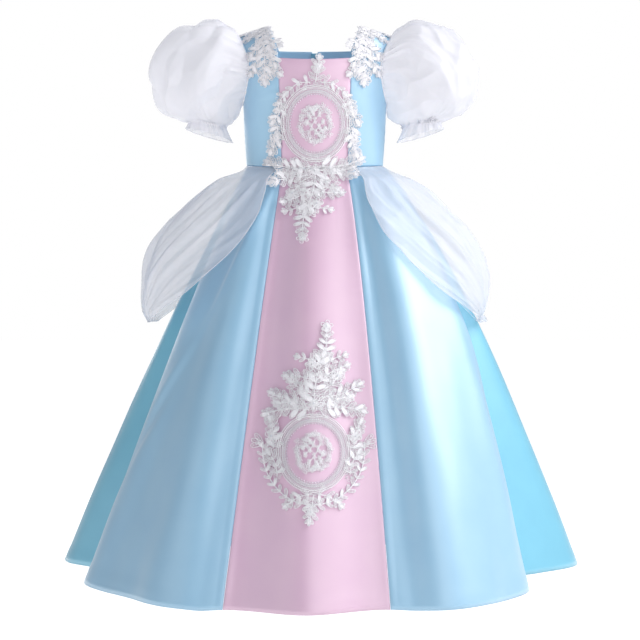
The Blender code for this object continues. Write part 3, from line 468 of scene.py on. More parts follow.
def organzaMaterial(name, colour):
    made, tree, shader = newMaterial(name, colour, organzaFinish["sockets"])
    cloth = clothPlace(tree)
    shade = [channel * organzaFinish["shade"] for channel in colour]
    mottled(tree, shader, cloth, colour, shade, organzaFinish["cloud"])
    threads = [threadWave(tree, cloth, organzaFinish["threadSpacing"], direction) for direction in ("X", "Y")]
    woven = addNode(tree, "ShaderNodeMath", operation="MULTIPLY")
    for socket, thread in zip(woven.inputs, threads):
        tree.links.new(thread, socket)
    depth, strength = organzaFinish["threadDepth"], organzaFinish["threadStrength"]
    bumped(tree, shader, woven.outputs["Value"], depth, strength)
    return made


laceFinish = {
    "threadSpacing": 0.5 * mm, "threadDepth": 0.12 * mm, "shade": 0.92,
    "sockets": {"Roughness": 0.46, "Sheen Weight": 0.35, "Sheen Roughness": 0.4},
}


def laceMaterial(name, colour):
    made, tree, shader = newMaterial(name, colour, laceFinish["sockets"])
    place = objectPlace(tree)
    mottled(tree, shader, place, colour, [channel * laceFinish["shade"] for channel in colour], 0.006)
    thread = threadWave(tree, place, laceFinish["threadSpacing"], "DIAGONAL", 3.0)
    bumped(tree, shader, thread, laceFinish["threadDepth"], 0.7)
    return made


beadFinish = {
    "base": (0.95, 0.95, 0.97), "colour": (0.93, 0.93, 0.95), "shade": (0.80, 0.82, 0.90),
    "sockets": {"Roughness": 0.10, "Coat Weight": 0.8, "Coat Roughness": 0.04, "Specular IOR Level": 0.8},
}


def beadMaterial(name):
    made, tree, shader = newMaterial(name, beadFinish["base"], beadFinish["sockets"])
    mottled(tree, shader, objectPlace(tree), beadFinish["colour"], beadFinish["shade"], 0.004)
    return made


zipFinish = {
    "metal": {"Roughness": 0.3, "Metallic": 0.85}, "tape": {"Roughness": 0.6},
    "grainScale": 2500.0, "grainDepth": 0.01 * mm, "ribSpacing": 0.8 * mm, "ribDepth": 0.1 * mm,
}


def metalMaterial(name, colour):
    made, tree, shader = newMaterial(name, colour, zipFinish["metal"])
    place = objectPlace(tree)
    mottled(tree, shader, place, colour, [channel * 0.8 for channel in colour], 0.002)
    grain = addNode(tree, "ShaderNodeTexNoise", {"Vector": place, "Scale": zipFinish["grainScale"]})
    bumped(tree, shader, grain.outputs["Fac"], zipFinish["grainDepth"], 0.5)
    return made


def tapeMaterial(name, colour):
    made, tree, shader = newMaterial(name, colour, zipFinish["tape"])
    place = objectPlace(tree)
    mottled(tree, shader, place, colour, [channel * 0.85 for channel in colour], 0.01)
    bumped(tree, shader, threadWave(tree, place, zipFinish["ribSpacing"], "Z"), zipFinish["ribDepth"], 0.8)
    return made


satinBlue = satinMaterial("satin_blue", (0.310, 0.565, 0.765), (0.285, 0.540, 0.750))
# The back skirt panels get a darker, greener copy of the blue satin: painted shade, not a fabric of their own
satinBluePaintedShade = satinMaterial("satin_turquoise", (0.130, 0.500, 0.680), (0.115, 0.470, 0.655))
satinPink = satinMaterial("satin_pink", (0.740, 0.485, 0.635), (0.715, 0.455, 0.620))
organza = organzaMaterial("organza_white", (0.85, 0.84, 0.90))
rolledOrganza = organzaMaterial("organza_rolled", (0.90, 0.90, 0.95))
laceThread = laceMaterial("lace_white", (0.97, 0.95, 0.98))
beads = beadMaterial("lace_beads")
zipMetal = metalMaterial("zip_metal", (0.62, 0.74, 0.82))
zipTape = tapeMaterial("zip_blue", (0.20, 0.47, 0.62))
zipTooth = tapeMaterial("zip_teeth_blue", (0.34, 0.58, 0.72))
print("materials made")


# Bodice panels
satinDetail = {
    "seamSink": 0.7 * mm, "seamWidth": 2.2 * mm, "puckerDepth": 0.45 * mm, "puckerLength": 13 * mm,
    "puckerReach": 9 * mm, "unevenness": 0.8 * mm, "unevenLength": 0.085, "unevenStretch": 2.2,
    "calmEdge": 0.02,
}


def seamed(measure, acrossEdges, seed):
    # How satin sinks and puckers beside the seams at its two sides
    across, down = measure[..., 0], measure[..., 1]
    total = np.zeros(across.shape)
    for k, column in enumerate(acrossEdges):
        away = np.abs(across - across[:, column][:, None])
        total -= satinDetail["seamSink"] * np.exp(-((away / satinDetail["seamWidth"]) ** 2))
        pucker = softNoise((down + 0.3 * away)[..., None], seed + k, satinDetail["puckerLength"])
        total += satinDetail["puckerDepth"] * pucker * np.exp(-away / satinDetail["puckerReach"])
    return total


def satinPanel(name, grid, middle, material, extra=None, keep=None, seed=1, unevenness=None):
    normals = gridNormals(grid, middle)
    measure = clothMeasure(grid)
    across, down = measure[..., 0], measure[..., 1]
    lift = seamed(measure, (0, -1), seed)
    uneven = satinDetail["unevenness"] if unevenness is None else unevenness
    inside = np.minimum(across - across[:, :1], across[:, -1:] - across)
    waves = softNoise(measure / (1, satinDetail["unevenStretch"]), seed + 5, satinDetail["unevenLength"])
    lift += uneven * waves * eased(inside / satinDetail["calmEdge"])
    if extra is not None:
        lift += extra(measure)
    grid = grid + normals * lift[..., None]
    normals = gridNormals(grid, middle)
    return clothShell(name, grid, normals, satinThickness, material, measure, keep=keep)


def princessX(level):
    lower = mix(neckHalfFront - 5 * mm, neckHalfFront, np.minimum(level, 1))
    return np.where(level > frontNeckLevel, neckX(level, frontNeckLevel, neckHalfFront), lower)


halfGap = seamGap / 2
waistSeamLevel = halfGap / (arcHeight - waistHeight)
shoulderSeamLevel = 2 - halfGap / (torso[-1].backDepth * math.pi / 2 * 0.45)
armholeGap = halfGap / torso[0].frontDepth


def torsoMiddle(grid):
    middle = np.zeros_like(grid)
    middle[..., 2] = np.minimum(grid[..., 2], arcHeight)
    return middle


def bodiceFrontCentre():
    down, share = np.meshgrid(np.linspace(0, 1, 70), np.linspace(-1, 1, 45), indexing="ij")
    top = frontNeckLevel - frontNeckScoop + frontNeckScoop * share**2
    level = mix(waistSeamLevel, top, down)
    grid = torsoPoint(level, share * aroundAt(princessX(level) - halfGap, level), -1)
    middle = torsoMiddle(grid)
    return satinPanel("bodice_front_centre_satin", grid, middle, satinPink, seed=11, unevenness=0.3 * mm)


def bodiceFrontSide(name, hand):
    down, share = np.meshgrid(np.linspace(0, 1, 120), np.linspace(0, 1, 42), indexing="ij")
    level = mix(waistSeamLevel, shoulderSeamLevel, down)
    inner = aroundAt(princessX(level) + halfGap, level)
    outer = armholeAround(level) - np.where(level <= underarmLevel, armholeGap, 0)
    grid = torsoPoint(level, hand * mix(inner, outer, share), -1)
    return satinPanel(f"bodice_front_{name}_satin", grid, torsoMiddle(grid), satinBlue, seed=21 + hand)


zipHalfGap = 0.5 * mm
notchHalfWidth = 4.5 * mm
notchLevel = 1.34


def bodiceBack(name, hand):
    # Its first columns, beside the zip, end at the neck, and the others run on up the strap
    neckColumns, strapColumns, neckRows, strapRows = 28, 40, 90, 38
    toNeck = np.linspace(waistSeamLevel, backNeckLevel, neckRows)
    levels = np.concatenate([toNeck, np.linspace(backNeckLevel, shoulderSeamLevel, strapRows)[1:]])
    notch = eased((levels - notchLevel) / (backNeckLevel - notchLevel))
    zipSide = aroundAt(mix(zipHalfGap, notchHalfWidth, notch), levels)
    neck = aroundAt(neckX(levels, backNeckLevel, neckHalfBack), levels)
    edge = armholeAround(levels) - np.where(levels <= underarmLevel, armholeGap, 0)
    beside = np.linspace(zipSide, neck, neckColumns + 1, axis=1)
    arounds = np.concatenate([beside, np.linspace(neck, edge, strapColumns + 1, axis=1)[:, 1:]], 1)
    grid = torsoPoint(levels[:, None], hand * arounds, 1)
    keep = np.ones((len(levels) - 1, neckColumns + strapColumns), bool)
    keep[neckRows - 1:, :neckColumns] = False
    middle = torsoMiddle(grid)
    return satinPanel(f"bodice_back_{name}_satin", grid, middle, satinBlue, keep=keep, seed=31 + hand)


def makeBodice():
    panels = {"bodice_front_centre": bodiceFrontCentre()}
    for name, hand in (("left", 1), ("right", -1)):
        panels[f"bodice_front_{name}"] = bodiceFrontSide(name, hand)
        panels[f"bodice_back_{name}"] = bodiceBack(name, hand)
    for node, panel in panels.items():
        wear(panel, "satin_pink" if node.endswith("centre") else "satin_blue", node)
    print("bodice sewn")


# Skirt panels: the folds that break the large cones
skirtPanels = {
    "skirt_front_centre": {
        "first": "frontSeamRight", "last": "frontSeamLeft", "columns": 90, "rows": 120,
        "slot": "satin_pink", "cut": ((0.250, 0.675), 0.1183),
        "folds": [SoftFold(0.22, 0.15, 0.16, 1.1, 0.020, 0.040, -0.05)],
    },
    "skirt_front_left": {
        "first": "frontSeamLeft", "last": "sideSeamLeft", "columns": 110, "rows": 110,
        "slot": "satin_blue", "cut": ((0.405, 0.690), 0.187), "folds": [
            SoftFold(0.07, 0.04, 0.08, 1.10, 0.007, 0.024, -0.26),
            SoftFold(0.20, 0.00, 0.30, 1.10, 0.016, 0.070, 0.10),
            SoftFold(0.50, 0.05, 0.55, 1.10, 0.018, 0.055, -0.08),
            SoftFold(0.62, 0.10, 0.66, 1.10, 0.014, 0.035, 0.08),
            SoftFold(0.40, 0.00, 0.86, 0.60, 0.006, 0.018, 0.16),
        ],
    },
    # The two back panels below are cut from the blue satin's darker painted-shade copy
    "skirt_back_left": {
        "first": "sideSeamLeft", "last": "backCentre", "columns": 126, "rows": 92,
        "slot": "satin_turquoise", "cut": ((0.801, 0.739), 0.3545), "folds": [
            SoftFold(0.25, 0.05, 0.22, 0.9, 0.020, 0.040, -0.10),
            SoftFold(0.62, 0.02, 0.60, 0.7, 0.014, 0.030, -0.12),
            SoftFold(0.86, 0.10, 0.84, 1.1, 0.020, 0.040, 0.10),
        ],
    },
    "skirt_back_right": {
        "first": "backCentre", "last": "sideSeamRight", "columns": 126, "rows": 92,
        "slot": "satin_turquoise", "cut": ((0.728, 0.737), 0.311), "folds": [
            SoftFold(0.12, 0.05, 0.14, 1.0, 0.020, 0.040, 0.10),
            SoftFold(0.42, 0.03, 0.45, 0.7, 0.014, 0.030, -0.12),
            SoftFold(0.78, 0.10, 0.80, 1.1, 0.020, 0.040, -0.10),
        ],
    },
    "skirt_front_right": {
        "first": "sideSeamRight", "last": "frontSeamRight", "columns": 110, "rows": 110,
        "slot": "satin_blue", "cut": ((0.462, 0.685), 0.1855), "folds": [
            SoftFold(0.93, 0.04, 0.93, 1.10, 0.007, 0.022, -0.26),
            SoftFold(0.82, 0.00, 0.74, 1.10, 0.014, 0.056, 0.09),
            SoftFold(0.97, 0.00, 0.30, 0.60, 0.006, 0.016, 0.30),
            SoftFold(0.55, 0.15, 0.42, 1.10, 0.016, 0.050, -0.10),
            SoftFold(0.90, 0.00, 0.20, 0.75, 0.006, 0.020, -0.22),
        ],
    },
}
skirtMaterials = {"satin_pink": satinPink, "satin_blue": satinBlue, "satin_turquoise": satinBluePaintedShade}
skirtDetail = {
    "facingWidth": 24 * mm, "facingRise": 0.5 * mm, "facingStep": 0.003, "gatherDepth": 0.7 * mm,
    "gatherLength": 0.018, "gatherReach": 0.03, "sway": 1.4 * mm, "swayLength": 0.16, "calmEdge": 0.012,
}


def skirtGrid(first, last, columns, rows):
    start, end = foldAt[first], foldAt[last]
    end += len(folds) if end < start else 0
    depths = mix(0.00025, 1.0, np.linspace(0, 1, rows) ** 1.2)
    small = 0.01

    def gapAt(place, toward):
        pace = lengths(skirtPoint(place + small * toward, depths) - skirtPoint(place, depths))
        return small * halfGap / pace

    begin, finish = start + gapAt(start, 1), end - gapAt(end, -1)
    places = np.linspace(begin, finish, columns + 1, axis=1)
    return skirtPoint(places, np.broadcast_to(depths[:, None], places.shape))


def skirtPanel(node, facts, seed):
    grid = skirtGrid(facts["first"], facts["last"], facts["columns"], facts["rows"])
    middle = np.zeros_like(grid)
    middle[..., 2] = grid[..., 2] - 0.05

    def extra(measure):
        across, down = measure[..., 0], measure[..., 1]
        wide = across[:, -1:] - across[:, :1]
        share = (across - across[:, :1]) / wide
        length = down / down[-1:]
        lift = foldedOut(share, length, wide, facts["folds"])
        gathers = softNoise(np.stack([share * 0.22, down * 0.25], -1), seed + 9, skirtDetail["gatherLength"])
        gathers *= np.exp(-down / skirtDetail["gatherReach"])
        lift += skirtDetail["gatherDepth"] * gathers * eased(down / 0.004)
        sway = softNoise(measure / (1, 3), seed + 13, skirtDetail["swayLength"])
        lift += skirtDetail["sway"] * sway * eased(down / 0.08)
        if facts["slot"] == "satin_pink":
            lift = softMin(lift, 0.2 * mm, 0.3 * mm)
        fromHem = down[-1:] - down
        aboveFacing = (fromHem - skirtDetail["facingWidth"]) / skirtDetail["facingStep"]
        lift += skirtDetail["facingRise"] * (1 - eased(aboveFacing))
        inside = np.minimum(share, 1 - share) * wide
        return lift * eased(inside / skirtDetail["calmEdge"])

    material = skirtMaterials[facts["slot"]]
    return satinPanel(f"{node}_satin", grid, middle, material, extra=extra, seed=seed)


def makeSkirt():
    for k, (node, facts) in enumerate(skirtPanels.items()):
        panel = wear(skirtPanel(node, facts, 51 + 3 * k), facts["slot"], node)
    print("skirt sewn")


# Overskirts
peplumDetail = {
    "gathers": 9, "gatherDepth": 2.6 * mm, "clearance": 6.5 * mm, "softness": 6 * mm, "head": 0.08,
    "bridgeSpread": math.radians(8), "columns": 168, "rows": 76, "fineGathers": 34, "fineDepth": 1.3 * mm,
    "facets": (4.0 * mm, 0.12), "creases": (4.5 * mm, 0.075), "fineCreases": (2.0 * mm, 0.032),
    "deepest": -4.5 * mm, "rolledHem": 0.7 * mm, "cut": ((0.470, 0.330), 0.118),
}


def skirtReachTables():
    heights = np.arange(-0.480, -0.205, 0.001)
    angles = np.radians(np.arange(-180, 180, 1.5))
    reach, bridged = np.zeros((2, len(heights), len(angles)))
    places = np.arange(len(folds) * 6) / 6
    for k, height in enumerate(heights):
        points = skirtPoint(places, skirtDepthAt(height))
        turned, far = np.arctan2(points[:, 0], -points[:, 1]), np.hypot(points[:, 0], points[:, 1])
        order = np.argsort(turned)
        reach[k] = np.interp(angles, turned[order], far[order], period=2 * math.pi)
        away = (turned[None] - angles[:, None] + math.pi) % (2 * math.pi) - math.pi
        weight = np.exp(-((away / peplumDetail["bridgeSpread"]) ** 2))
        bridged[k] = ((weight * far**40).sum(1) / weight.sum(1)) ** (1 / 40)
    return heights, angles, reach, bridged


def readTable(table, heights, angles, angle, height):
    row = np.clip((height - heights[0]) / (heights[1] - heights[0]), 0, len(heights) - 1.001)
    column = ((angle - angles[0]) / (angles[1] - angles[0])) % len(angles)
    i, j = row.astype(int), column.astype(int) % len(angles)
    u, v, n = row - i, column - np.floor(column), (j + 1) % len(angles)
    return mix(mix(table[i, j], table[i, n], v), mix(table[i + 1, j], table[i + 1, n], v), u)


def peplumGrid(hand, seed):
    heights, angles, reachTable, bridgedTable = skirtReachTables()
    rows = np.linspace(0, 1, peplumDetail["rows"]) ** 1.3
    columns = np.linspace(0, 1, peplumDetail["columns"] + 1)
    down, across = np.meshgrid(rows, columns, indexing="ij")
    height = mix(peplumRows[0].height, peplumRows[-1].height, down)
    front = np.radians(tableColumn(peplumRows, "height", "frontDeg", height))
    back = np.radians(tableColumn(peplumRows, "height", "backDeg", height))
    turn = mix(front, back, across)
    x = tableColumn(peplumRows, "height", "halfWidth", height) * np.sin(turn)
    y = -tableColumn(peplumRows, "height", "halfDepth", height) * np.cos(turn)
    z = height - waistDrop(np.arcsin(np.sin(turn)), np.where(y < 0, -1, 1)) * (1 - down)
    angle = np.arctan2(hand * x, -y)
    step = 2 * mm
    here = readTable(reachTable, heights, angles, angle, z)
    slope = (readTable(reachTable, heights, angles, angle, z - step) - here) / step
    lean = np.hypot(1, slope)
    sewn = here + (1.0 * mm + seamGap) * lean
    bridged = readTable(bridgedTable, heights, angles, angle, z)
    clear = np.maximum(bridged, here) + peplumDetail["clearance"] * lean
    wide = np.hypot(x, y)
    free = (clear + wide + np.hypot(clear - wide, peplumDetail["softness"])) / 2
    wave = 0.5 + 0.5 * np.cos(2 * math.pi * peplumDetail["gathers"] * across)
    free += peplumDetail["gatherDepth"] * (1 - down) ** 0.7 * wave
    fine = softNoise(np.stack([across * 0.3, down * 0.06], -1), seed, 0.3 / peplumDetail["fineGathers"])
    free += peplumDetail["fineDepth"] * fine * np.exp(-down / 0.22)
    reach = mix(sewn, free, eased(down / peplumDetail["head"]))
    return np.stack([reach * np.sin(angle), -reach * np.cos(angle), z], -1), across, down


peplumFolds = {
    "left": [
        SoftFold(0.08, 0.06, 0.20, 0.85, 0.004, 0.009, 0.40),
        SoftFold(0.16, 0.10, 0.30, 0.95, 0.006, 0.013, 0.38),
        SoftFold(0.24, 0.05, 0.36, 0.90, 0.004, 0.010, -0.40),
        SoftFold(0.32, 0.05, 0.43, 0.95, 0.005, 0.012, -0.34),
        SoftFold(0.40, 0.03, 0.47, 0.80, 0.004, 0.009, 0.42),
        SoftFold(0.46, 0.06, 0.52, 0.95, 0.006, 0.015, 0.36),
        SoftFold(0.60, 0.10, 0.56, 0.90, 0.006, 0.016, -0.32),
        SoftFold(0.68, 0.05, 0.63, 0.80, 0.005, 0.012, 0.36),
        SoftFold(0.78, 0.10, 0.70, 0.90, 0.006, 0.014, 0.34),
        SoftFold(0.88, 0.05, 0.80, 0.80, 0.005, 0.011, -0.34),
    ],
    "right": [
        SoftFold(0.06, 0.05, 0.20, 0.75, 0.004, 0.009, 0.42),
        SoftFold(0.10, 0.04, 0.30, 0.80, 0.005, 0.011, 0.44),
        SoftFold(0.16, 0.03, 0.37, 0.92, 0.004, 0.009, -0.46),
        SoftFold(0.22, 0.05, 0.43, 0.90, 0.005, 0.010, -0.42),
        SoftFold(0.28, 0.03, 0.48, 0.70, 0.004, 0.009, 0.48),
        SoftFold(0.35, 0.03, 0.53, 0.95, 0.005, 0.013, 0.42),
        SoftFold(0.44, 0.04, 0.57, 0.80, 0.004, 0.010, -0.44),
        SoftFold(0.52, 0.10, 0.60, 0.70, 0.006, 0.012, -0.38),
        SoftFold(0.66, 0.10, 0.62, 0.90, 0.006, 0.015, 0.36),
        SoftFold(0.75, 0.05, 0.68, 0.80, 0.005, 0.011, -0.38),
        SoftFold(0.84, 0.10, 0.74, 0.90, 0.006, 0.013, 0.34),
    ],
}


def tube(name, path, radius, material, closed=False, sides=6):
    path = np.asarray(path, float)
    run = units((np.roll(path, -1, 0) - np.roll(path, 1, 0)) if closed else np.gradient(path, axis=0))
    flat = units(np.cross(run, (0.31, 0.17, 0.93)))
    side = np.cross(run, flat)
    turn = 2 * math.pi * np.arange(sides) / sides
    circle = flat[:, None] * np.cos(turn)[:, None] + side[:, None] * np.sin(turn)[:, None]
    rings = path[:, None] + radius * circle
    faces, count = [], len(path)
    for i in range(count if closed else count - 1):
        for j in range(sides):
            n, k = (i + 1) % count, (j + 1) % sides
            faces.append([i * sides + j, n * sides + j, n * sides + k, i * sides + k][::-1])
    if not closed:
        faces.append(list(range(sides))[::-1])
        faces.append([(count - 1) * sides + j for j in range(sides)])
    made = meshObject(name, rings.reshape(-1, 3), faces, material)
    made.data.uv_layers.new(name="cloth")
    return made


def peplumEdge(grid):
    corner = 6
    front, bottom, back = grid[:-corner, 0], grid[-1, corner:-corner], grid[:-corner, -1][::-1]
    path = np.concatenate([front, bottom, back])
    for _ in range(2):
        path[1:-1] = (path[:-2] + 2 * path[1:-1] + path[2:]) / 4
    return path


def crumple(kind, places, seed):
    # One layer of crumples, given as its depth and wavelength
    depth, wavelength = kind
    return depth * crumpled(places, seed, wavelength)


def makePeplum(name, hand):
    grid, across, down = peplumGrid(hand, 71 + hand)
    middle = np.zeros_like(grid)
    middle[..., 2] = grid[..., 2]
    normals = gridNormals(grid, middle)
    measure = clothMeasure(grid)
    wide = measure[:, -1:, 0] - measure[:, :1, 0]
    lift = foldedOut(across, down, wide, peplumFolds[name])
    slant = np.stack([(across - 0.22 * down) * 0.62, down * 0.05], -1)
    lift += crumple(peplumDetail["facets"], grid, 81 + hand) * eased(down / 0.3)
    lift += crumple(peplumDetail["creases"], slant, 85 + hand) * eased(down / 0.25)
    lift -= crumple(peplumDetail["fineCreases"], slant, 87 + hand) * eased(down / 0.2)
    lift = np.maximum(lift, peplumDetail["deepest"]) * eased((down - 0.04) / 0.1)
    grid = grid + normals * lift[..., None]
    normals = gridNormals(grid, middle)
    sheer = clothShell(f"peplum_{name}_organza", grid, normals, organzaThickness, organza, measure)
    wear(sheer, "organza_white", f"peplum_{name}")
    hem = tube(f"peplum_{name}_hem", peplumEdge(grid), peplumDetail["rolledHem"], rolledOrganza)
    wear(hem, "organza_white")
    print("overskirt sewn,", name)


# Sleeves
sleeveDetail = {
    "gathers": 12, "headDepth": 5.0 * mm, "cuffDepth": 4.0 * mm, "crumples": 5, "crumpleDepth": 7 * mm,
    "tuck": 1.7 * mm, "columns": 180, "rows": 96, "fineGathers": 40, "fineDepth": 1.3 * mm, "cuff": 0.91,
    "facets": (11.0 * mm, 0.13), "dents": (9.0 * mm, 0.10), "fineFacets": (5.0 * mm, 0.05),
    "inward": 2.0 * mm, "deepest": -11 * mm, "highest": 5 * mm, "elastic": 1.5 * mm,
    "cut": ((0.600, 0.315), 0.105),
}


def armholeLoop(count):
    levels = np.concatenate([np.linspace(2, 1.2, 20), 1.2 - 0.51 * np.linspace(0, 1, 50)[1:] ** 0.7])
    levels = np.append(levels[levels > underarmLevel], underarmLevel)
    front = torsoPoint(levels, armholeAround(levels), -1)
    back = torsoPoint(levels[::-1], armholeAround(levels[::-1]), 1)
    line = np.concatenate([front, back[1:]])
    along = np.concatenate([[0], np.cumsum(lengths(np.diff(line, axis=0)))])
    at = np.linspace(0, along[-1], count + 1)[:-1]
    loop = np.stack([np.interp(at, along, line[:, k]) for k in range(3)], axis=1)
    return loop + units(loop.mean(axis=0) - loop) * sleeveDetail["tuck"]


def puffOval(along, turn):
    columns = (tableColumn(puffRows, "along", key, along) for key in Puff._fields[1:])
    outerX, outerZ, innerX, innerZ, depth = columns
    centre = np.stack([(outerX + innerX) / 2, 0 * along, (outerZ + innerZ) / 2], -1)
    across = np.stack([(outerX - innerX) / 2, 0 * along, (outerZ - innerZ) / 2], -1)
    sideways = np.stack([0 * along, -depth, 0 * along], -1)
    oval = across * np.cos(turn)[..., None] + sideways * np.sin(turn)[..., None]
    return centre, oval


def sleeveGrid(seed):
    columns, rows = sleeveDetail["columns"], sleeveDetail["rows"]
    turns = 2 * math.pi * np.arange(columns) / columns
    along, turn = np.meshgrid(np.linspace(0, 1, rows), turns, indexing="ij")
    centre, oval = puffOval(along, turn)
    head = sleeveDetail["headDepth"] * eased(along / 0.08) * (1 - eased((along - 0.08) / 0.4))
    cuff = sleeveDetail["cuffDepth"] * eased((along - 0.66) / 0.25)
    wave = (head + cuff) * (0.5 + 0.5 * np.cos(sleeveDetail["gathers"] * turn))
    onTop = np.sin(math.pi * along) ** 2 * (0.5 + 0.5 * np.cos(turn))
    rolling = 0.5 + 0.5 * np.sin(sleeveDetail["crumples"] * turn + 4 * along)
    wave += sleeveDetail["crumpleDepth"] * onTop * rolling
    fine = np.zeros_like(along)
    for k in range(-2, 3):
        fine += np.cos((sleeveDetail["fineGathers"] + 3 * k) * turn + 1.7 * k * seed)
    nearSeams = np.exp(-along / 0.2) * eased(along / 0.02) + np.exp(-np.abs(along - 0.9) / 0.07)
    wave -= sleeveDetail["fineDepth"] * fine / 2.2 * nearSeams
    grid = centre + oval - units(oval) * wave[..., None]
    loop = armholeLoop(columns)
    firstCentre, firstOval = puffOval(0 * turn[0], turn[0])
    first = firstCentre + firstOval
    return grid + (loop - first)[None] * (1 - eased(along / 0.16))[..., None], along, turn


def makeSleeve(name, hand):
    grid, along, turn = sleeveGrid(1 + 0.5 * hand)
    middle = np.repeat(grid.mean(axis=1)[:, None], grid.shape[1], 1)
    normals = gridNormals(grid, middle, ring=True)
    measure = clothMeasure(grid, ring=True)
    free = np.sin(math.pi * np.clip(along / 0.93, 0, 1)) ** 0.6
    lift = crumple(sleeveDetail["facets"], grid, 91 + hand) - crumple(sleeveDetail["dents"], grid, 95 + hand)
    lift += crumple(sleeveDetail["fineFacets"], grid, 97 + hand)
    lift = np.clip(lift - sleeveDetail["inward"], sleeveDetail["deepest"], sleeveDetail["highest"]) * free
    grid = grid + normals * lift[..., None]
    mirror = np.array([hand, 1, 1])
    grid = grid * mirror
    normals = gridNormals(grid, middle * mirror, ring=True)
    puff = clothShell(f"sleeve_{name}_organza", grid, normals, organzaThickness, organza, measure, ring=True)
    wear(puff, "organza_white", f"sleeve_{name}")
    hem = tube(f"sleeve_{name}_hem", grid[-1], peplumDetail["rolledHem"], rolledOrganza, closed=True)
    row = np.argmin(np.abs(along[:, 0] - sleeveDetail["cuff"]))
    thick = sleeveDetail["elastic"]
    inside = grid[row] - normals[row] * thick
    elastic = tube(f"sleeve_{name}_elastic", inside, thick, rolledOrganza, closed=True)
    wear(hem, "organza_white")
    wear(elastic, "organza_white")
    print("sleeve sewn,", name)


# Lace: drawn flat in millimetres, then laid on the front of the dress
# A spray runs from one place to another with a bend, and its leaves go from the first length to the last
Spray = namedtuple("Spray", "x s endX endS bend first last")
medallionSprays = [
    Spray(0, 60, 5, 92, 0, 12, 10),
    Spray(-50, 34, -60, 6, 3, 10, 12),
    Spray(50, 34, 60, 6, -3, 10, 12),
    Spray(-56, -2, -64, -38, 3, 12, 11),
    Spray(56, -4, 60, -42, -3, 12, 11),
    Spray(-6, -62, -64, -60, 5, 15, 12),
    Spray(6, -62, 62, -56, -5, 15, 12),
    Spray(-8, -80, -60, -96, -4, 14, 12),
    Spray(8, -80, 54, -84, 4, 14, 11),
    Spray(0, -60, -12, -138, 4, 17, 14),
    Spray(-8, -104, -42, -126, 3, 12, 10),
    Spray(-2, -104, 34, -112, -3, 12, 10),
    Spray(-12, -128, -40, -142, 2, 10, 9),
    Spray(-10, -128, 18, -140, -2, 10, 9),
    Spray(-12, -138, -18, -178, -2, 13, 10),
    Spray(-20, -70, -46, -80, 2, 13, 12),
    Spray(20, -68, 46, -72, -2, 13, 12),
    Spray(-14, -92, -34, -112, -2, 12, 11),
    Spray(4, -88, 28, -102, 2, 12, 11),
]
shoulderSprays = [
    Spray(14, 72, 2, -44, -3, 14, 12),
    Spray(12, 44, 34, 34, 0, 12, 10),
    Spray(8, 66, -12, -20, 2, 12, 10),
    Spray(20, 72, 38, 64, 0, 12, 10),
    Spray(10, 8, 28, -4, 0, 12, 10),
    Spray(4, 24, -16, 10, 0, 11, 10),
    Spray(8, -8, 22, -30, 2, 11, 10),
    Spray(2, -24, -16, -36, 0, 11, 10),
]
laceDetail = {"gap": 0.9, "overSheer": 7, "ovalHalfWidth": 51.5, "ovalHalfHeight": 57, "plate": 0.35}


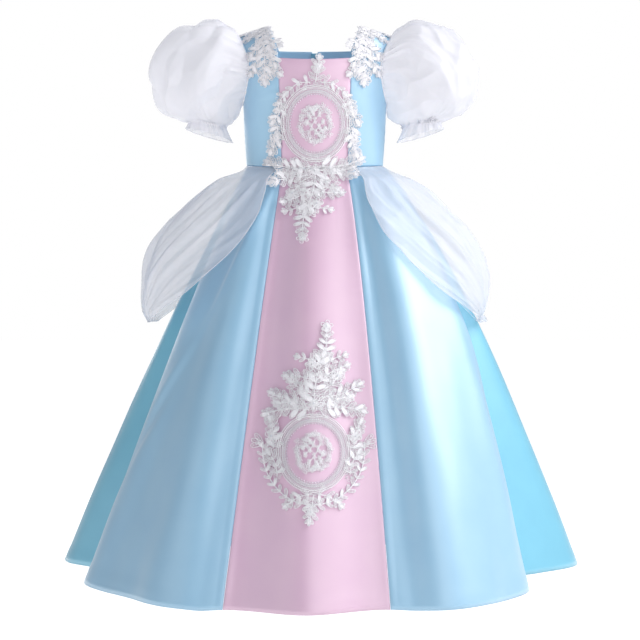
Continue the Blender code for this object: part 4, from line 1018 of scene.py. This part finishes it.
class LaceWork:
    # Points and faces of one piece of lace while it is drawn, and the places of its beads
    def __init__(self):
        self.points, self.faces, self.beads, self.count = [], [], [], 0

    def add(self, points, faces):
        self.points.append(points)
        self.faces += [[index + self.count for index in face] for face in faces]
        self.count += len(points)

    def cord(self, path, lift, radius, closed=False, sides=5):
        path = np.asarray(path, float)
        count = len(path)
        lift, radius = np.broadcast_to(lift, count), np.broadcast_to(radius, count)
        if closed:
            run = np.roll(path, -1, 0) - np.roll(path, 1, 0)
        else:
            run = np.gradient(path, axis=0)
        side = units(np.stack([-run[:, 1], run[:, 0]], -1))
        angles = 2 * math.pi * np.arange(sides) / sides + 0.3
        flat = path[:, None] + side[:, None] * (np.cos(angles)[None, :, None] * radius[:, None, None])
        high = lift[:, None] + np.sin(angles)[None] * radius[:, None]
        points = np.concatenate([flat, high[..., None]], -1).reshape(-1, 3)
        faces = []
        for i in range(count if closed else count - 1):
            for j in range(sides):
                n, k = (i + 1) % count, (j + 1) % sides
                faces.append([i * sides + j, i * sides + k, n * sides + k, n * sides + j])
        if not closed:
            faces.append(list(range(sides))[::-1])
            faces.append([(count - 1) * sides + j for j in range(sides)])
        self.add(points, faces)

    def blade(self, x, s, angle, length, width, lift, dome, vein=0.35, rows=6, columns=4):
        # A domed leaf or petal with a sunk vein
        along = np.linspace(0, 1, rows + 1)[1:-1]
        across = np.linspace(-1, 1, columns + 1)
        half = width / 2 * np.sin(math.pi * along**0.85) ** 0.8
        top = np.zeros((len(along), len(across), 3))
        top[..., 0] = (along * length)[:, None]
        top[..., 1] = half[:, None] * across[None]
        top[..., 2] = lift + dome * (1 - across[None] ** 2) * np.sin(math.pi * along)[:, None] ** 0.5
        top[..., 2] -= vein * np.exp(-((across[None] / 0.25) ** 2)) * np.sin(math.pi * along)[:, None]
        low = top.copy()
        low[..., 2] = lift - laceDetail["plate"]
        size = len(along) * len(across)
        ends = np.array([[0, 0, lift], [length, 0, lift]])
        points = np.concatenate([top.reshape(-1, 3), low.reshape(-1, 3), ends])
        turned = points.copy()
        turned[:, 0] = x + points[:, 0] * math.cos(angle) - points[:, 1] * math.sin(angle)
        turned[:, 1] = s + points[:, 0] * math.sin(angle) + points[:, 1] * math.cos(angle)
        wide, faces = columns + 1, []
        for i in range(len(along) - 1):
            for j in range(columns):
                a, b, c, d = i * wide + j, i * wide + j + 1, (i + 1) * wide + j + 1, (i + 1) * wide + j
                faces.append([a, d, c, b])
                faces.append([a + size, b + size, c + size, d + size])
            for j in (0, columns):
                a, d = i * wide + j, (i + 1) * wide + j
                side = [a, a + size, d + size, d]
                faces.append(side if j == 0 else side[::-1])
        start, tip, lastRow = 2 * size, 2 * size + 1, (len(along) - 1) * wide
        for j in range(columns):
            faces.append([start, j, j + 1])
            faces.append([start, j + 1 + size, j + size])
            faces.append([tip, lastRow + j + 1, lastRow + j])
            faces.append([tip, lastRow + j + size, lastRow + j + 1 + size])
        faces += [[start, size, 0], [start, columns, columns + size]]
        faces += [[tip, lastRow, lastRow + size], [tip, lastRow + columns + size, lastRow + columns]]
        self.add(turned, faces)

    def bead(self, x, s, lift, size):
        self.beads.append((x, s, lift, size))

    def loop(self, x, s, angle, length, width, lift, radius, steps=10, sides=5):
        # An outline petal or leaf of cord
        turn = np.linspace(0, 2 * math.pi, steps, endpoint=False)
        along = (1 - np.cos(turn)) / 2 * length
        across = np.sin(turn) * width / 2 * (0.75 + 0.25 * np.cos(turn - math.pi))
        path = np.stack([
            x + along * math.cos(angle) - across * math.sin(angle),
            s + along * math.sin(angle) + across * math.cos(angle),
        ], -1)
        self.cord(path[::-1], lift, radius, closed=True, sides=sides)


def laceRosette(work, x, s, size, turn, petals=5):
    for k in range(petals):
        angle = turn + 2 * math.pi * k / petals
        work.loop(x, s, angle, size, size * 0.8, 1.3, 0.5, steps=7, sides=4)
    work.bead(x, s, 1.9, size * 0.2)


def laceBlossom(work, x, s, size, turn):
    # A large blossom: five outline petals of cord, each with a thread-filled heart
    for k in range(5):
        angle = turn + math.pi * (2 * k + 1) / 5
        near = size * 0.18
        place = x + near * math.cos(angle), s + near * math.sin(angle)
        work.loop(*place, angle, size * 0.82, size * 0.74, 1.4, 0.62)
        work.blade(*place, angle, size * 0.55, size * 0.34, 0.8, 0.8, rows=4, columns=2)
    laceRosette(work, x, s, size * 0.36, turn, petals=4)
    work.bead(x, s, 2.4, size * 0.13)


leafDetail = {
    "width": 0.46, "cord": 0.58, "rib": 0.42, "vein": 0.30, "veins": (0.28, 0.5, 0.7), "filled": 0.30,
}


def laceLeaf(work, x, s, angle, length, lift=0.0, filled=False):
    # A leaf edged with cord, with a midrib and side veins; a filled one is worked solid with thread
    ahead = np.array([math.cos(angle), math.sin(angle)])
    aside = np.array([-ahead[1], ahead[0]])
    root, width = np.array([x, s]), length * leafDetail["width"]
    work.loop(x, s, angle, length, width, 1.1 + lift, leafDetail["cord"], steps=12, sides=4)
    if filled:
        work.blade(x, s, angle, length * 0.96, width * 0.86, 0.8 + lift, 0.7, vein=0.25, rows=5, columns=4)
        return
    midrib = [root, root + ahead * length * 0.5, root + ahead * length * 0.9]
    work.cord(midrib, 1.4 + lift, leafDetail["rib"], sides=4)
    for share in leafDetail["veins"]:
        for hand in (-1, 1):
            reach = width * 0.42 * math.sin(math.pi * min(share + 0.15, 1))
            tip = root + ahead * (length * (share + 0.16)) + hand * aside * reach
            work.cord([root + ahead * length * share, tip], 1.2 + lift, leafDetail["vein"], sides=3)


laceFill = {
    "spacing": 5.2, "radius": 1.9, "cord": 0.40, "share": 0.80, "beaded": 0.3, "margin": 16, "unrest": 0.35,
}


def sprayLine(spray, share):
    start, end = np.array([spray.x, spray.s], float), np.array([spray.endX, spray.endS], float)
    across = units(np.array([start[1] - end[1], end[0] - start[0]]))
    share = np.asarray(share, float)[..., None]
    return mix(start, end, share) + across * spray.bend * np.sin(math.pi * share)


def laceNet(work, sprays, seed):
    # Small loops of cord fill the middle of the sprays, as guipure lace is worked
    samples = np.linspace(0, 1, 30)
    lines = np.concatenate([sprayLine(spray, samples) for spray in sprays])
    halves = np.concatenate([mix(spray.first, spray.last, samples) for spray in sprays])
    halves *= laceFill["share"]
    chance = np.random.default_rng(seed)
    low, high = lines.min(0) - laceFill["margin"], lines.max(0) + laceFill["margin"]
    step = laceFill["spacing"]
    for row, s in enumerate(np.arange(low[1], high[1], step * 0.87)):
        for x in np.arange(low[0] + step / 2 * (row % 2), high[0], step):
            place = np.array([x, s]) + chance.normal(size=2) * laceFill["unrest"]
            if (lengths(lines - place) - halves).min() > 0:
                continue
            size = laceFill["radius"] * chance.uniform(0.85, 1.25)
            turn = chance.uniform(0, 6.28) + 2 * math.pi * np.arange(6) / 6
            path = place + size * np.stack([np.cos(turn), np.sin(turn) * chance.uniform(0.8, 1.1)], -1)
            work.cord(path, 0.6 + chance.uniform(0, 0.3), laceFill["cord"], closed=True, sides=4)
            if chance.uniform() < laceFill["beaded"]:
                work.bead(*place, 1.1, 0.7)


def laceSpray(work, spray, seed=0):
    # A frond: pairs of leaves up a stem, with rosettes between them and three leaves at its tip
    chance = np.random.default_rng(seed + 7)
    reach = math.hypot(spray.endX - spray.x, spray.endS - spray.s)
    count = max(2, round(reach / 10.5))
    work.cord(sprayLine(spray, np.linspace(0, 1, 14)), 1.2, 0.75)
    for k in range(count):
        share = (k + 0.35) / count
        (x, s), (aheadX, aheadS) = sprayLine(spray, share), sprayLine(spray, share + 0.02)
        angle = math.atan2(aheadS - s, aheadX - x)
        length = mix(spray.first, spray.last, share) * 1.22
        for hand in (-1, 1):
            turned = angle + hand * (1.02 - 0.25 * share) + chance.normal() * 0.12
            filled = chance.uniform() < leafDetail["filled"]
            laceLeaf(work, x, s, turned, length * chance.uniform(0.85, 1.12), 0.35 * (k % 2), filled)
        if k % 2 == 1:
            laceRosette(work, x, s, 4.4, angle)
    x, s = sprayLine(spray, 1.0)
    for hand in (-1, 0, 1):
        laceLeaf(work, x, s, angle + 0.55 * hand, spray.last * (1.15 - 0.15 * abs(hand)), 0.3, hand == 0)


def ovalPath(inset, count, wobble=0.0, waves=0, shift=0.0):
    turn = np.linspace(0, 2 * math.pi, count, endpoint=False)
    reach = wobble * np.cos(waves * turn + shift)
    x = (laceDetail["ovalHalfWidth"] - inset + reach) * np.cos(turn)
    s = (laceDetail["ovalHalfHeight"] - inset + reach) * np.sin(turn)
    return np.stack([x, s], -1)


def laceOval(work):
    # The oval: smooth cords outside, then a mesh band of crossed threads with beads, and a beaded rim
    twist = 1 + 0.35 * np.cos(2 * math.pi * np.arange(330) / 3)
    for inset, radius in ((0.9, 0.85), (3.5, 0.95)):
        work.cord(ovalPath(inset, 330), radius + 0.1, radius * twist, closed=True, sides=4)
    work.cord(ovalPath(5.6, 110), 0.65, 0.55, closed=True)
    for inset, shift in ((8.6, 0), (8.6, math.pi), (11.6, 0), (11.6, math.pi)):
        work.cord(ovalPath(inset, 240, 1.7, 48, shift), 0.65, 0.36, closed=True, sides=3)
    for inset, count, size in ((8.6, 96, 0.85), (11.6, 96, 0.75), (14.6, 62, 1.0)):
        for point in ovalPath(inset, count):
            work.bead(*point, 0.9, size)


bouquet = {
    "halfWidth": 22, "halfHeight": 27, "rosettes": 46, "uneven": 3.0,
    "twigs": ((-9, -14, 8, 16), (-13, -4, -2, 15), (-2, -19, 13, 4), (-12, 8, 2, 22), (3, -20, 16, -6)),
}


def laceBouquet(work):
    # The bouquet inside the oval: an uneven ring of rosettes round crossed twigs
    chance = np.random.default_rng(11)
    for k in range(bouquet["rosettes"]):
        turn = 2 * math.pi * k / bouquet["rosettes"]
        share = 1 + chance.normal() * bouquet["uneven"] / bouquet["halfHeight"] - 0.14 * (k % 2)
        x = bouquet["halfWidth"] * share * math.cos(turn)
        s = bouquet["halfHeight"] * share * math.sin(turn)
        laceRosette(work, x, s, chance.uniform(3.4, 5.2), turn * 3, petals=4)
    for x, s, endX, endS in bouquet["twigs"]:
        path = sprayLine(Spray(x, s, endX, endS, 2, 0, 0), np.linspace(0, 1, 7))
        work.cord(path, 1.1, 0.6)
        for k, (px, ps) in enumerate(path[1:]):
            laceRosette(work, px + 1.8 * (-1) ** k, ps, 2.8, k, petals=4)


# The skirt motif also has a garland that hangs round its oval, in degrees and millimetres
garland = {"halfWidth": 71, "halfHeight": 74, "from": -8, "to": 188, "pairs": 22, "leaf": 11}
tipSprays = [Spray(-3, 58, -34, 74, 3, 12, 9), Spray(3, 58, 34, 74, -3, 12, 9)]
crownSprays = [
    Spray(-8, 60, -40, 47, -5, 11, 9),
    Spray(8, 60, 40, 47, 5, 11, 9),
    Spray(-44, 44, -55, 24, -2, 9, 9),
    Spray(44, 44, 55, 20, 2, 9, 9),
]
# Blossoms: their places and sizes
blossoms = [
    (-33, -112, 10), (2, -130, 10), (-18, -188, 9), (-58, -22, 10), (58, -22, 10), (0, -72, 12), (4, 84, 8),
]
shoulderBlossoms = [(3, -42, 11), (12, 14, 11), (-4, -8, 9), (24, 50, 10)]


def laceGarland(work):
    chance = np.random.default_rng(5)
    turns = np.radians(np.linspace(garland["from"], garland["to"], garland["pairs"] * 2 + 1))
    path = np.stack([garland["halfWidth"] * np.cos(turns), garland["halfHeight"] * np.sin(turns)], -1)
    work.cord(path, 1.1, 0.85)
    for k in range(1, len(path) - 1, 2):
        run = path[k + 1] - path[k - 1]
        # Leaves lean away from the lowest point of the hanging garland
        angle = math.atan2(run[1], run[0]) + (math.pi if k < len(path) / 2 else 0)
        for hand in (-1, 1):
            turned = angle + hand * 0.75 + chance.normal() * 0.1
            filled = chance.uniform() < leafDetail["filled"]
            laceLeaf(work, *path[k], turned, garland["leaf"] * chance.uniform(0.85, 1.15), filled=filled)
        work.bead(*path[k + 1], 1.8, 0.9)
    for k, hand in ((0, 1), (len(path) - 1, -1)):
        for turn in (-0.55, 0.0, 0.5):
            laceLeaf(work, *path[k], (0 if hand > 0 else math.pi) + turn - 0.3 * hand, 19)


def medallion(withGarland):
    work = LaceWork()
    laceOval(work)
    laceBouquet(work)
    sprays = medallionSprays + (tipSprays if withGarland else crownSprays)
    for k, spray in enumerate(sprays):
        laceSpray(work, spray, k)
    laceNet(work, [spray for spray in sprays if spray.last > 9], 3)
    if withGarland:
        laceGarland(work)
    for k, (x, s, size) in enumerate(blossoms):
        laceBlossom(work, x, s, size, 0.7 * k)
    return work


def arcLengths():
    levels, depths = np.linspace(0, 2, 161), np.linspace(0, 1, 161)
    up = torsoPoint(levels, aroundAt(0.06, levels), -1)
    upAlong = np.concatenate([[0], np.cumsum(lengths(np.diff(up[:, 1:], axis=0)))])
    down = skirtPoint(foldAt["frontCentre"], depths)
    downAlong = np.concatenate([[0], np.cumsum(lengths(np.diff(down[:, 1:], axis=0)))])
    return levels, upAlong, depths, downAlong


arcTable = arcLengths()


def skirtPlaceAt(x, depth):
    place, ahead = np.zeros_like(x), np.full_like(x, 0.5)
    for _ in range(6):
        here, there = skirtPoint(place, depth)[..., 0], skirtPoint(ahead, depth)[..., 0]
        run = there - here
        step = (x - there) * (ahead - place) / np.where(run == 0, 1, run)
        place, ahead = ahead, ahead + np.where(np.abs(run) < 1e-9, 0, step)
    return ahead


def frontSurface(x, s):
    # A point of the dress's front, from its distance to the middle and along the cloth from the waist
    levels, upAlong, depths, downAlong = arcTable
    level = np.interp(s, upAlong, levels)
    depth = np.interp(-s, downAlong, depths)
    above = torsoPoint(level, aroundAt(x, level), -1)
    below = skirtPoint(skirtPlaceAt(x, depth), depth)
    return np.where((s >= 0)[..., None], above, below)


def laidOnFront(flat, x, s, hand=1, turned=1):
    a, b = x + turned * flat[:, 0] * mm, s + turned * flat[:, 1] * mm
    step = 0.4 * mm
    across = frontSurface(a + step, b) - frontSurface(a - step, b)
    upward = frontSurface(a, b + step) - frontSurface(a, b - step)
    normal = units(np.cross(across, upward))
    belowWaist = eased((0.012 - b) / 0.012) * eased((b + 0.20) / 0.05)
    overSheer = laceDetail["overSheer"] * eased((np.abs(a) - 0.042) / 0.016) * belowWaist
    point = frontSurface(a, b) + normal * ((laceDetail["gap"] + overSheer + flat[:, 2]) * mm)[:, None]
    return point * np.array([hand, 1, 1]), normal * np.array([hand, 1, 1])


# Geometry Nodes: a bead on every point, as large as the point says
def nodeGroup(name, floats):
    tree = bpy.data.node_groups.new(name, "GeometryNodeTree")
    tree.interface.new_socket("Geometry", in_out="INPUT", socket_type="NodeSocketGeometry")
    for label, value in floats.items():
        tree.interface.new_socket(label, in_out="INPUT", socket_type="NodeSocketFloat").default_value = value
    tree.interface.new_socket("Material", in_out="INPUT", socket_type="NodeSocketMaterial")
    tree.interface.new_socket("Geometry", in_out="OUTPUT", socket_type="NodeSocketGeometry")
    return tree, tree.nodes.new("NodeGroupInput").outputs, tree.nodes.new("NodeGroupOutput").inputs


def beadTree():
    tree, given, result = nodeGroup("beads on points", {"Bead radius": 1.0 * mm})
    bead = addNode(tree, "GeometryNodeMeshUVSphere", {
        "Segments": 6, "Rings": 4, "Radius": given["Bead radius"],
    })
    size = addNode(tree, "GeometryNodeInputNamedAttribute", {"Name": "beadSize"}, data_type="FLOAT")
    placed = addNode(tree, "GeometryNodeInstanceOnPoints", {
        "Points": given["Geometry"], "Instance": bead.outputs["Mesh"], "Scale": size.outputs["Attribute"],
    })
    real = addNode(tree, "GeometryNodeRealizeInstances", {"Geometry": placed.outputs["Instances"]})
    smooth = addNode(tree, "GeometryNodeSetShadeSmooth", {"Geometry": real.outputs["Geometry"]})
    painted = addNode(tree, "GeometryNodeSetMaterial", {
        "Geometry": smooth.outputs["Geometry"], "Material": given["Material"],
    })
    tree.links.new(painted.outputs["Geometry"], result["Geometry"])
    return tree


def rodTree():
    # Rods along a line, set end to end or side by side: stitches and zip teeth
    tree, given, result = nodeGroup("rods on a line", {
        "Rod pitch": 2.6 * mm, "Rod length": 1.9 * mm, "Rod width": 0.44 * mm, "Rod height": 0.44 * mm,
    })
    line = addNode(tree, "GeometryNodeMeshToCurve", {"Mesh": given["Geometry"]})
    even = addNode(tree, "GeometryNodeResampleCurve", {
        "Curve": line.outputs["Curve"], "Length": given["Rod pitch"],
    }, mode="LENGTH")
    ball = addNode(tree, "GeometryNodeMeshUVSphere", {"Segments": 6, "Rings": 4, "Radius": 0.5})
    scale = addNode(tree, "ShaderNodeCombineXYZ", {
        "X": given["Rod width"], "Y": given["Rod height"], "Z": given["Rod length"],
    })
    tangent = addNode(tree, "GeometryNodeInputTangent")
    aligned = addNode(tree, "FunctionNodeAlignRotationToVector", {
        "Vector": tangent.outputs["Tangent"],
    }, axis="Z")
    placed = addNode(tree, "GeometryNodeInstanceOnPoints", {
        "Points": even.outputs["Curve"], "Instance": ball.outputs["Mesh"],
        "Rotation": aligned.outputs["Rotation"], "Scale": scale.outputs["Vector"],
    })
    real = addNode(tree, "GeometryNodeRealizeInstances", {"Geometry": placed.outputs["Instances"]})
    smooth = addNode(tree, "GeometryNodeSetShadeSmooth", {"Geometry": real.outputs["Geometry"]})
    painted = addNode(tree, "GeometryNodeSetMaterial", {
        "Geometry": smooth.outputs["Geometry"], "Material": given["Material"],
    })
    tree.links.new(painted.outputs["Geometry"], result["Geometry"])
    return tree


def grown(source, tree, name, material, **floats):
    # Runs a tree on a source object and keeps its result as a plain mesh
    modifier = source.modifiers.new("grow", "NODES")
    modifier.node_group = tree
    for socket in tree.interface.items_tree:
        if socket.in_out == "INPUT" and socket.name in floats:
            modifier[socket.identifier] = floats[socket.name]
        if socket.in_out == "INPUT" and socket.name == "Material":
            modifier[socket.identifier] = material
    bpy.context.view_layer.update()
    mesh = bpy.data.meshes.new_from_object(source.evaluated_get(bpy.context.evaluated_depsgraph_get()))
    bpy.data.objects.remove(source)
    mesh.name = name
    if not mesh.materials:
        mesh.materials.append(material)
    made = bpy.data.objects.new(name, mesh)
    bpy.context.scene.collection.objects.link(made)
    return made


beadsOnPoints, rodsOnLine = beadTree(), rodTree()


def laceObject(name, work, x, s, hand=1, turned=1):
    points, _ = laidOnFront(np.concatenate(work.points), x, s, hand, turned)
    faces = [face[::-1] for face in work.faces] if hand < 0 else work.faces
    threads = meshObject(f"{name}_threads", points, faces, laceThread)
    strung = np.array(work.beads)
    places, normals = laidOnFront(strung[:, :3], x, s, hand, turned)
    dots = bpy.data.meshes.new(f"{name}_dots")
    dots.from_pydata(places.tolist(), [], [])
    sizes = dots.attributes.new("beadSize", "FLOAT", "POINT")
    sizes.data.foreach_set("value", strung[:, 3].astype(np.float32))
    source = bpy.data.objects.new(f"{name}_dots", dots)
    bpy.context.scene.collection.objects.link(source)
    beadwork = grown(source, beadsOnPoints, f"{name}_beads", beads)
    wear(threads, "lace_white", name)
    wear(beadwork, "lace_white")
    return threads, beadwork


def makeLace():
    laceObject("lace_bodice", medallion(False), 1 * mm, 66 * mm)
    laceObject("lace_skirt", medallion(True), -1 * mm, -450 * mm, turned=-1)
    for name, hand in (("left", 1), ("right", -1)):
        work = LaceWork()
        for k, spray in enumerate(shoulderSprays):
            laceSpray(work, spray, k)
        laceNet(work, shoulderSprays, 4)
        for k, (x, s, size) in enumerate(shoulderBlossoms):
            laceBlossom(work, x, s, size, 0.6 * k)
        laceObject(f"lace_shoulder_{name}", work, 72 * mm, 178 * mm, hand)
    print("lace laid")


# Zip: its slider, pull and tape keep their own shapes, and get teeth and two rows of stitches
zipDetail = {
    "top": 1.42, "end": 0.175, "teethBehind": 1.65 * mm, "stitchesAside": 7.5 * mm, "stitchesProud": 0.1 * mm,
    "teeth": {"Rod pitch": 1.5 * mm, "Rod length": 1.1 * mm, "Rod width": 3.6 * mm, "Rod height": 0.8 * mm},
    "stitches": {
        "Rod pitch": 2.8 * mm, "Rod length": 2.1 * mm, "Rod width": 0.5 * mm, "Rod height": 0.5 * mm,
    },
}


def zipLine(x, lifted):
    # A line up the centre back, some way to the side of it and above or behind the cloth
    levels = np.linspace(zipDetail["top"], waistSeamLevel, 60)[:, None]
    depths = np.linspace(0.004, zipDetail["end"], 40)[:, None]
    beside = (x + np.array([-1, 0, 1]) * mm)[None]
    centre, small = foldAt["backCentre"], 0.05
    pace = lengths(skirtPoint(centre + small, depths) - skirtPoint(centre - small, depths)) / (2 * small)
    above = torsoPoint(levels, aroundAt(beside, levels), 1)
    grid = np.concatenate([above, skirtPoint(centre - beside / pace, depths)])[::-1]
    return grid[:, 1] + gridNormals(grid, torsoMiddle(grid))[:, 1] * lifted


def rodLine(name, line, material, sizes):
    mesh = bpy.data.meshes.new(f"{name}_line")
    mesh.from_pydata(line.tolist(), [(k, k + 1) for k in range(len(line) - 1)], [])
    source = bpy.data.objects.new(f"{name}_line", mesh)
    bpy.context.scene.collection.objects.link(source)
    return grown(source, rodsOnLine, name, material, **sizes)


def makeZip():
    for node, material in (("zip_slider", zipMetal), ("zip_pull", zipMetal), ("zip_chain", zipTape)):
        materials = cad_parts[node].data.materials
        materials.clear()
        materials.append(material)
    teeth = rodLine("zip_teeth", zipLine(0, -zipDetail["teethBehind"]), zipTooth, zipDetail["teeth"])
    wear(teeth, "zip_blue")
    for name, hand in (("left", 1), ("right", -1)):
        line = zipLine(hand * zipDetail["stitchesAside"], zipDetail["stitchesProud"])
        wear(rodLine(f"zip_stitches_{name}", line, zipTape, zipDetail["stitches"]), "zip_blue")
    print("zip finished")


# Studio
studio = {
    "cameraSide": 0.008, "cameraDistance": 2.5, "cameraHeight": -0.4526, "lens": 90.7,
    "floorBelowHem": 0.14, "floorRadius": 40.0,
    "key": {"place": (2.15, -0.25, 1.20), "size": 2.4, "power": 80},
    "front": {"place": (1.1, -2.6, 0.4), "size": 2.2, "power": 17},
    "fill": {"place": (-2.4, -1.6, 0.5), "size": 2.4, "power": 9},
    "back": {"place": (-0.6, 2.4, 0.6), "size": 2.4, "power": 22},
    "aim": (0, 0, -0.42), "world": 0.27, "sky": (0.80, 0.88, 1.0, 1), "floorGlow": 0.97,
}


def areaLight(name, place, size, power):
    data = bpy.data.lights.new(name, "AREA")
    data.shape = "DISK"
    data.size = size
    data.energy = power
    made = bpy.data.objects.new(name, data)
    made.location = place
    aim = np.array(studio["aim"]) - np.array(place)
    tilt = math.atan2(math.hypot(aim[0], aim[1]), -aim[2])
    made.rotation_euler = (tilt, 0, math.atan2(aim[0], -aim[1]) + math.pi)
    bpy.context.scene.collection.objects.link(made)


def makeStudio():
    camera = bpy.data.objects.new("camera", bpy.data.cameras.new("camera"))
    camera.data.lens = studio["lens"]
    camera.data.sensor_width = 36
    camera.location = (studio["cameraSide"], -studio["cameraDistance"], studio["cameraHeight"])
    camera.rotation_euler = (math.pi / 2, 0, 0)
    bpy.context.scene.collection.objects.link(camera)
    bpy.context.scene.camera = camera
    for name in ("key", "front", "fill", "back"):
        areaLight(name, **studio[name])
    world = bpy.data.worlds.new("studio")
    bpy.context.scene.world = world
    world.use_nodes = True
    tree = world.node_tree
    background = tree.nodes["Background"]
    background.inputs["Color"].default_value = studio["sky"]
    background.inputs["Strength"].default_value = studio["world"]
    seen = addNode(tree, "ShaderNodeBackground", {"Color": (1, 1, 1, 1), "Strength": 1.0})
    path = addNode(tree, "ShaderNodeLightPath")
    chosen = addNode(tree, "ShaderNodeMixShader")
    tree.links.new(path.outputs["Is Camera Ray"], chosen.inputs[0])
    tree.links.new(background.outputs[0], chosen.inputs[1])
    tree.links.new(seen.outputs[0], chosen.inputs[2])
    tree.links.new(chosen.outputs[0], tree.nodes["World Output"].inputs["Surface"])
    turn = np.linspace(0, 2 * math.pi, 64, endpoint=False)
    ring = np.stack([np.cos(turn), np.sin(turn), 0 * turn], -1) * studio["floorRadius"]
    ring[:, 2] = hemHeight - studio["floorBelowHem"]
    floorPaint, _, _ = newMaterial("floor", (0.30, 0.30, 0.30), {
        "Roughness": 0.9, "Specular IOR Level": 0.0,
        "Emission Color": (1, 1, 1, 1), "Emission Strength": studio["floorGlow"],
    })
    floor = meshObject("floor", ring, [list(range(64))], floorPaint, smooth=False)
    scene = bpy.context.scene
    scene.view_settings.view_transform = "Standard"
    scene.cycles.transparent_max_bounces = 24
    print("studio lit")


makeStudio()
makeBodice()
makeSkirt()
for sideName, sideHand in (("left", 1), ("right", -1)):
    makePeplum(sideName, sideHand)
    makeSleeve(sideName, sideHand)
makeLace()
makeZip()
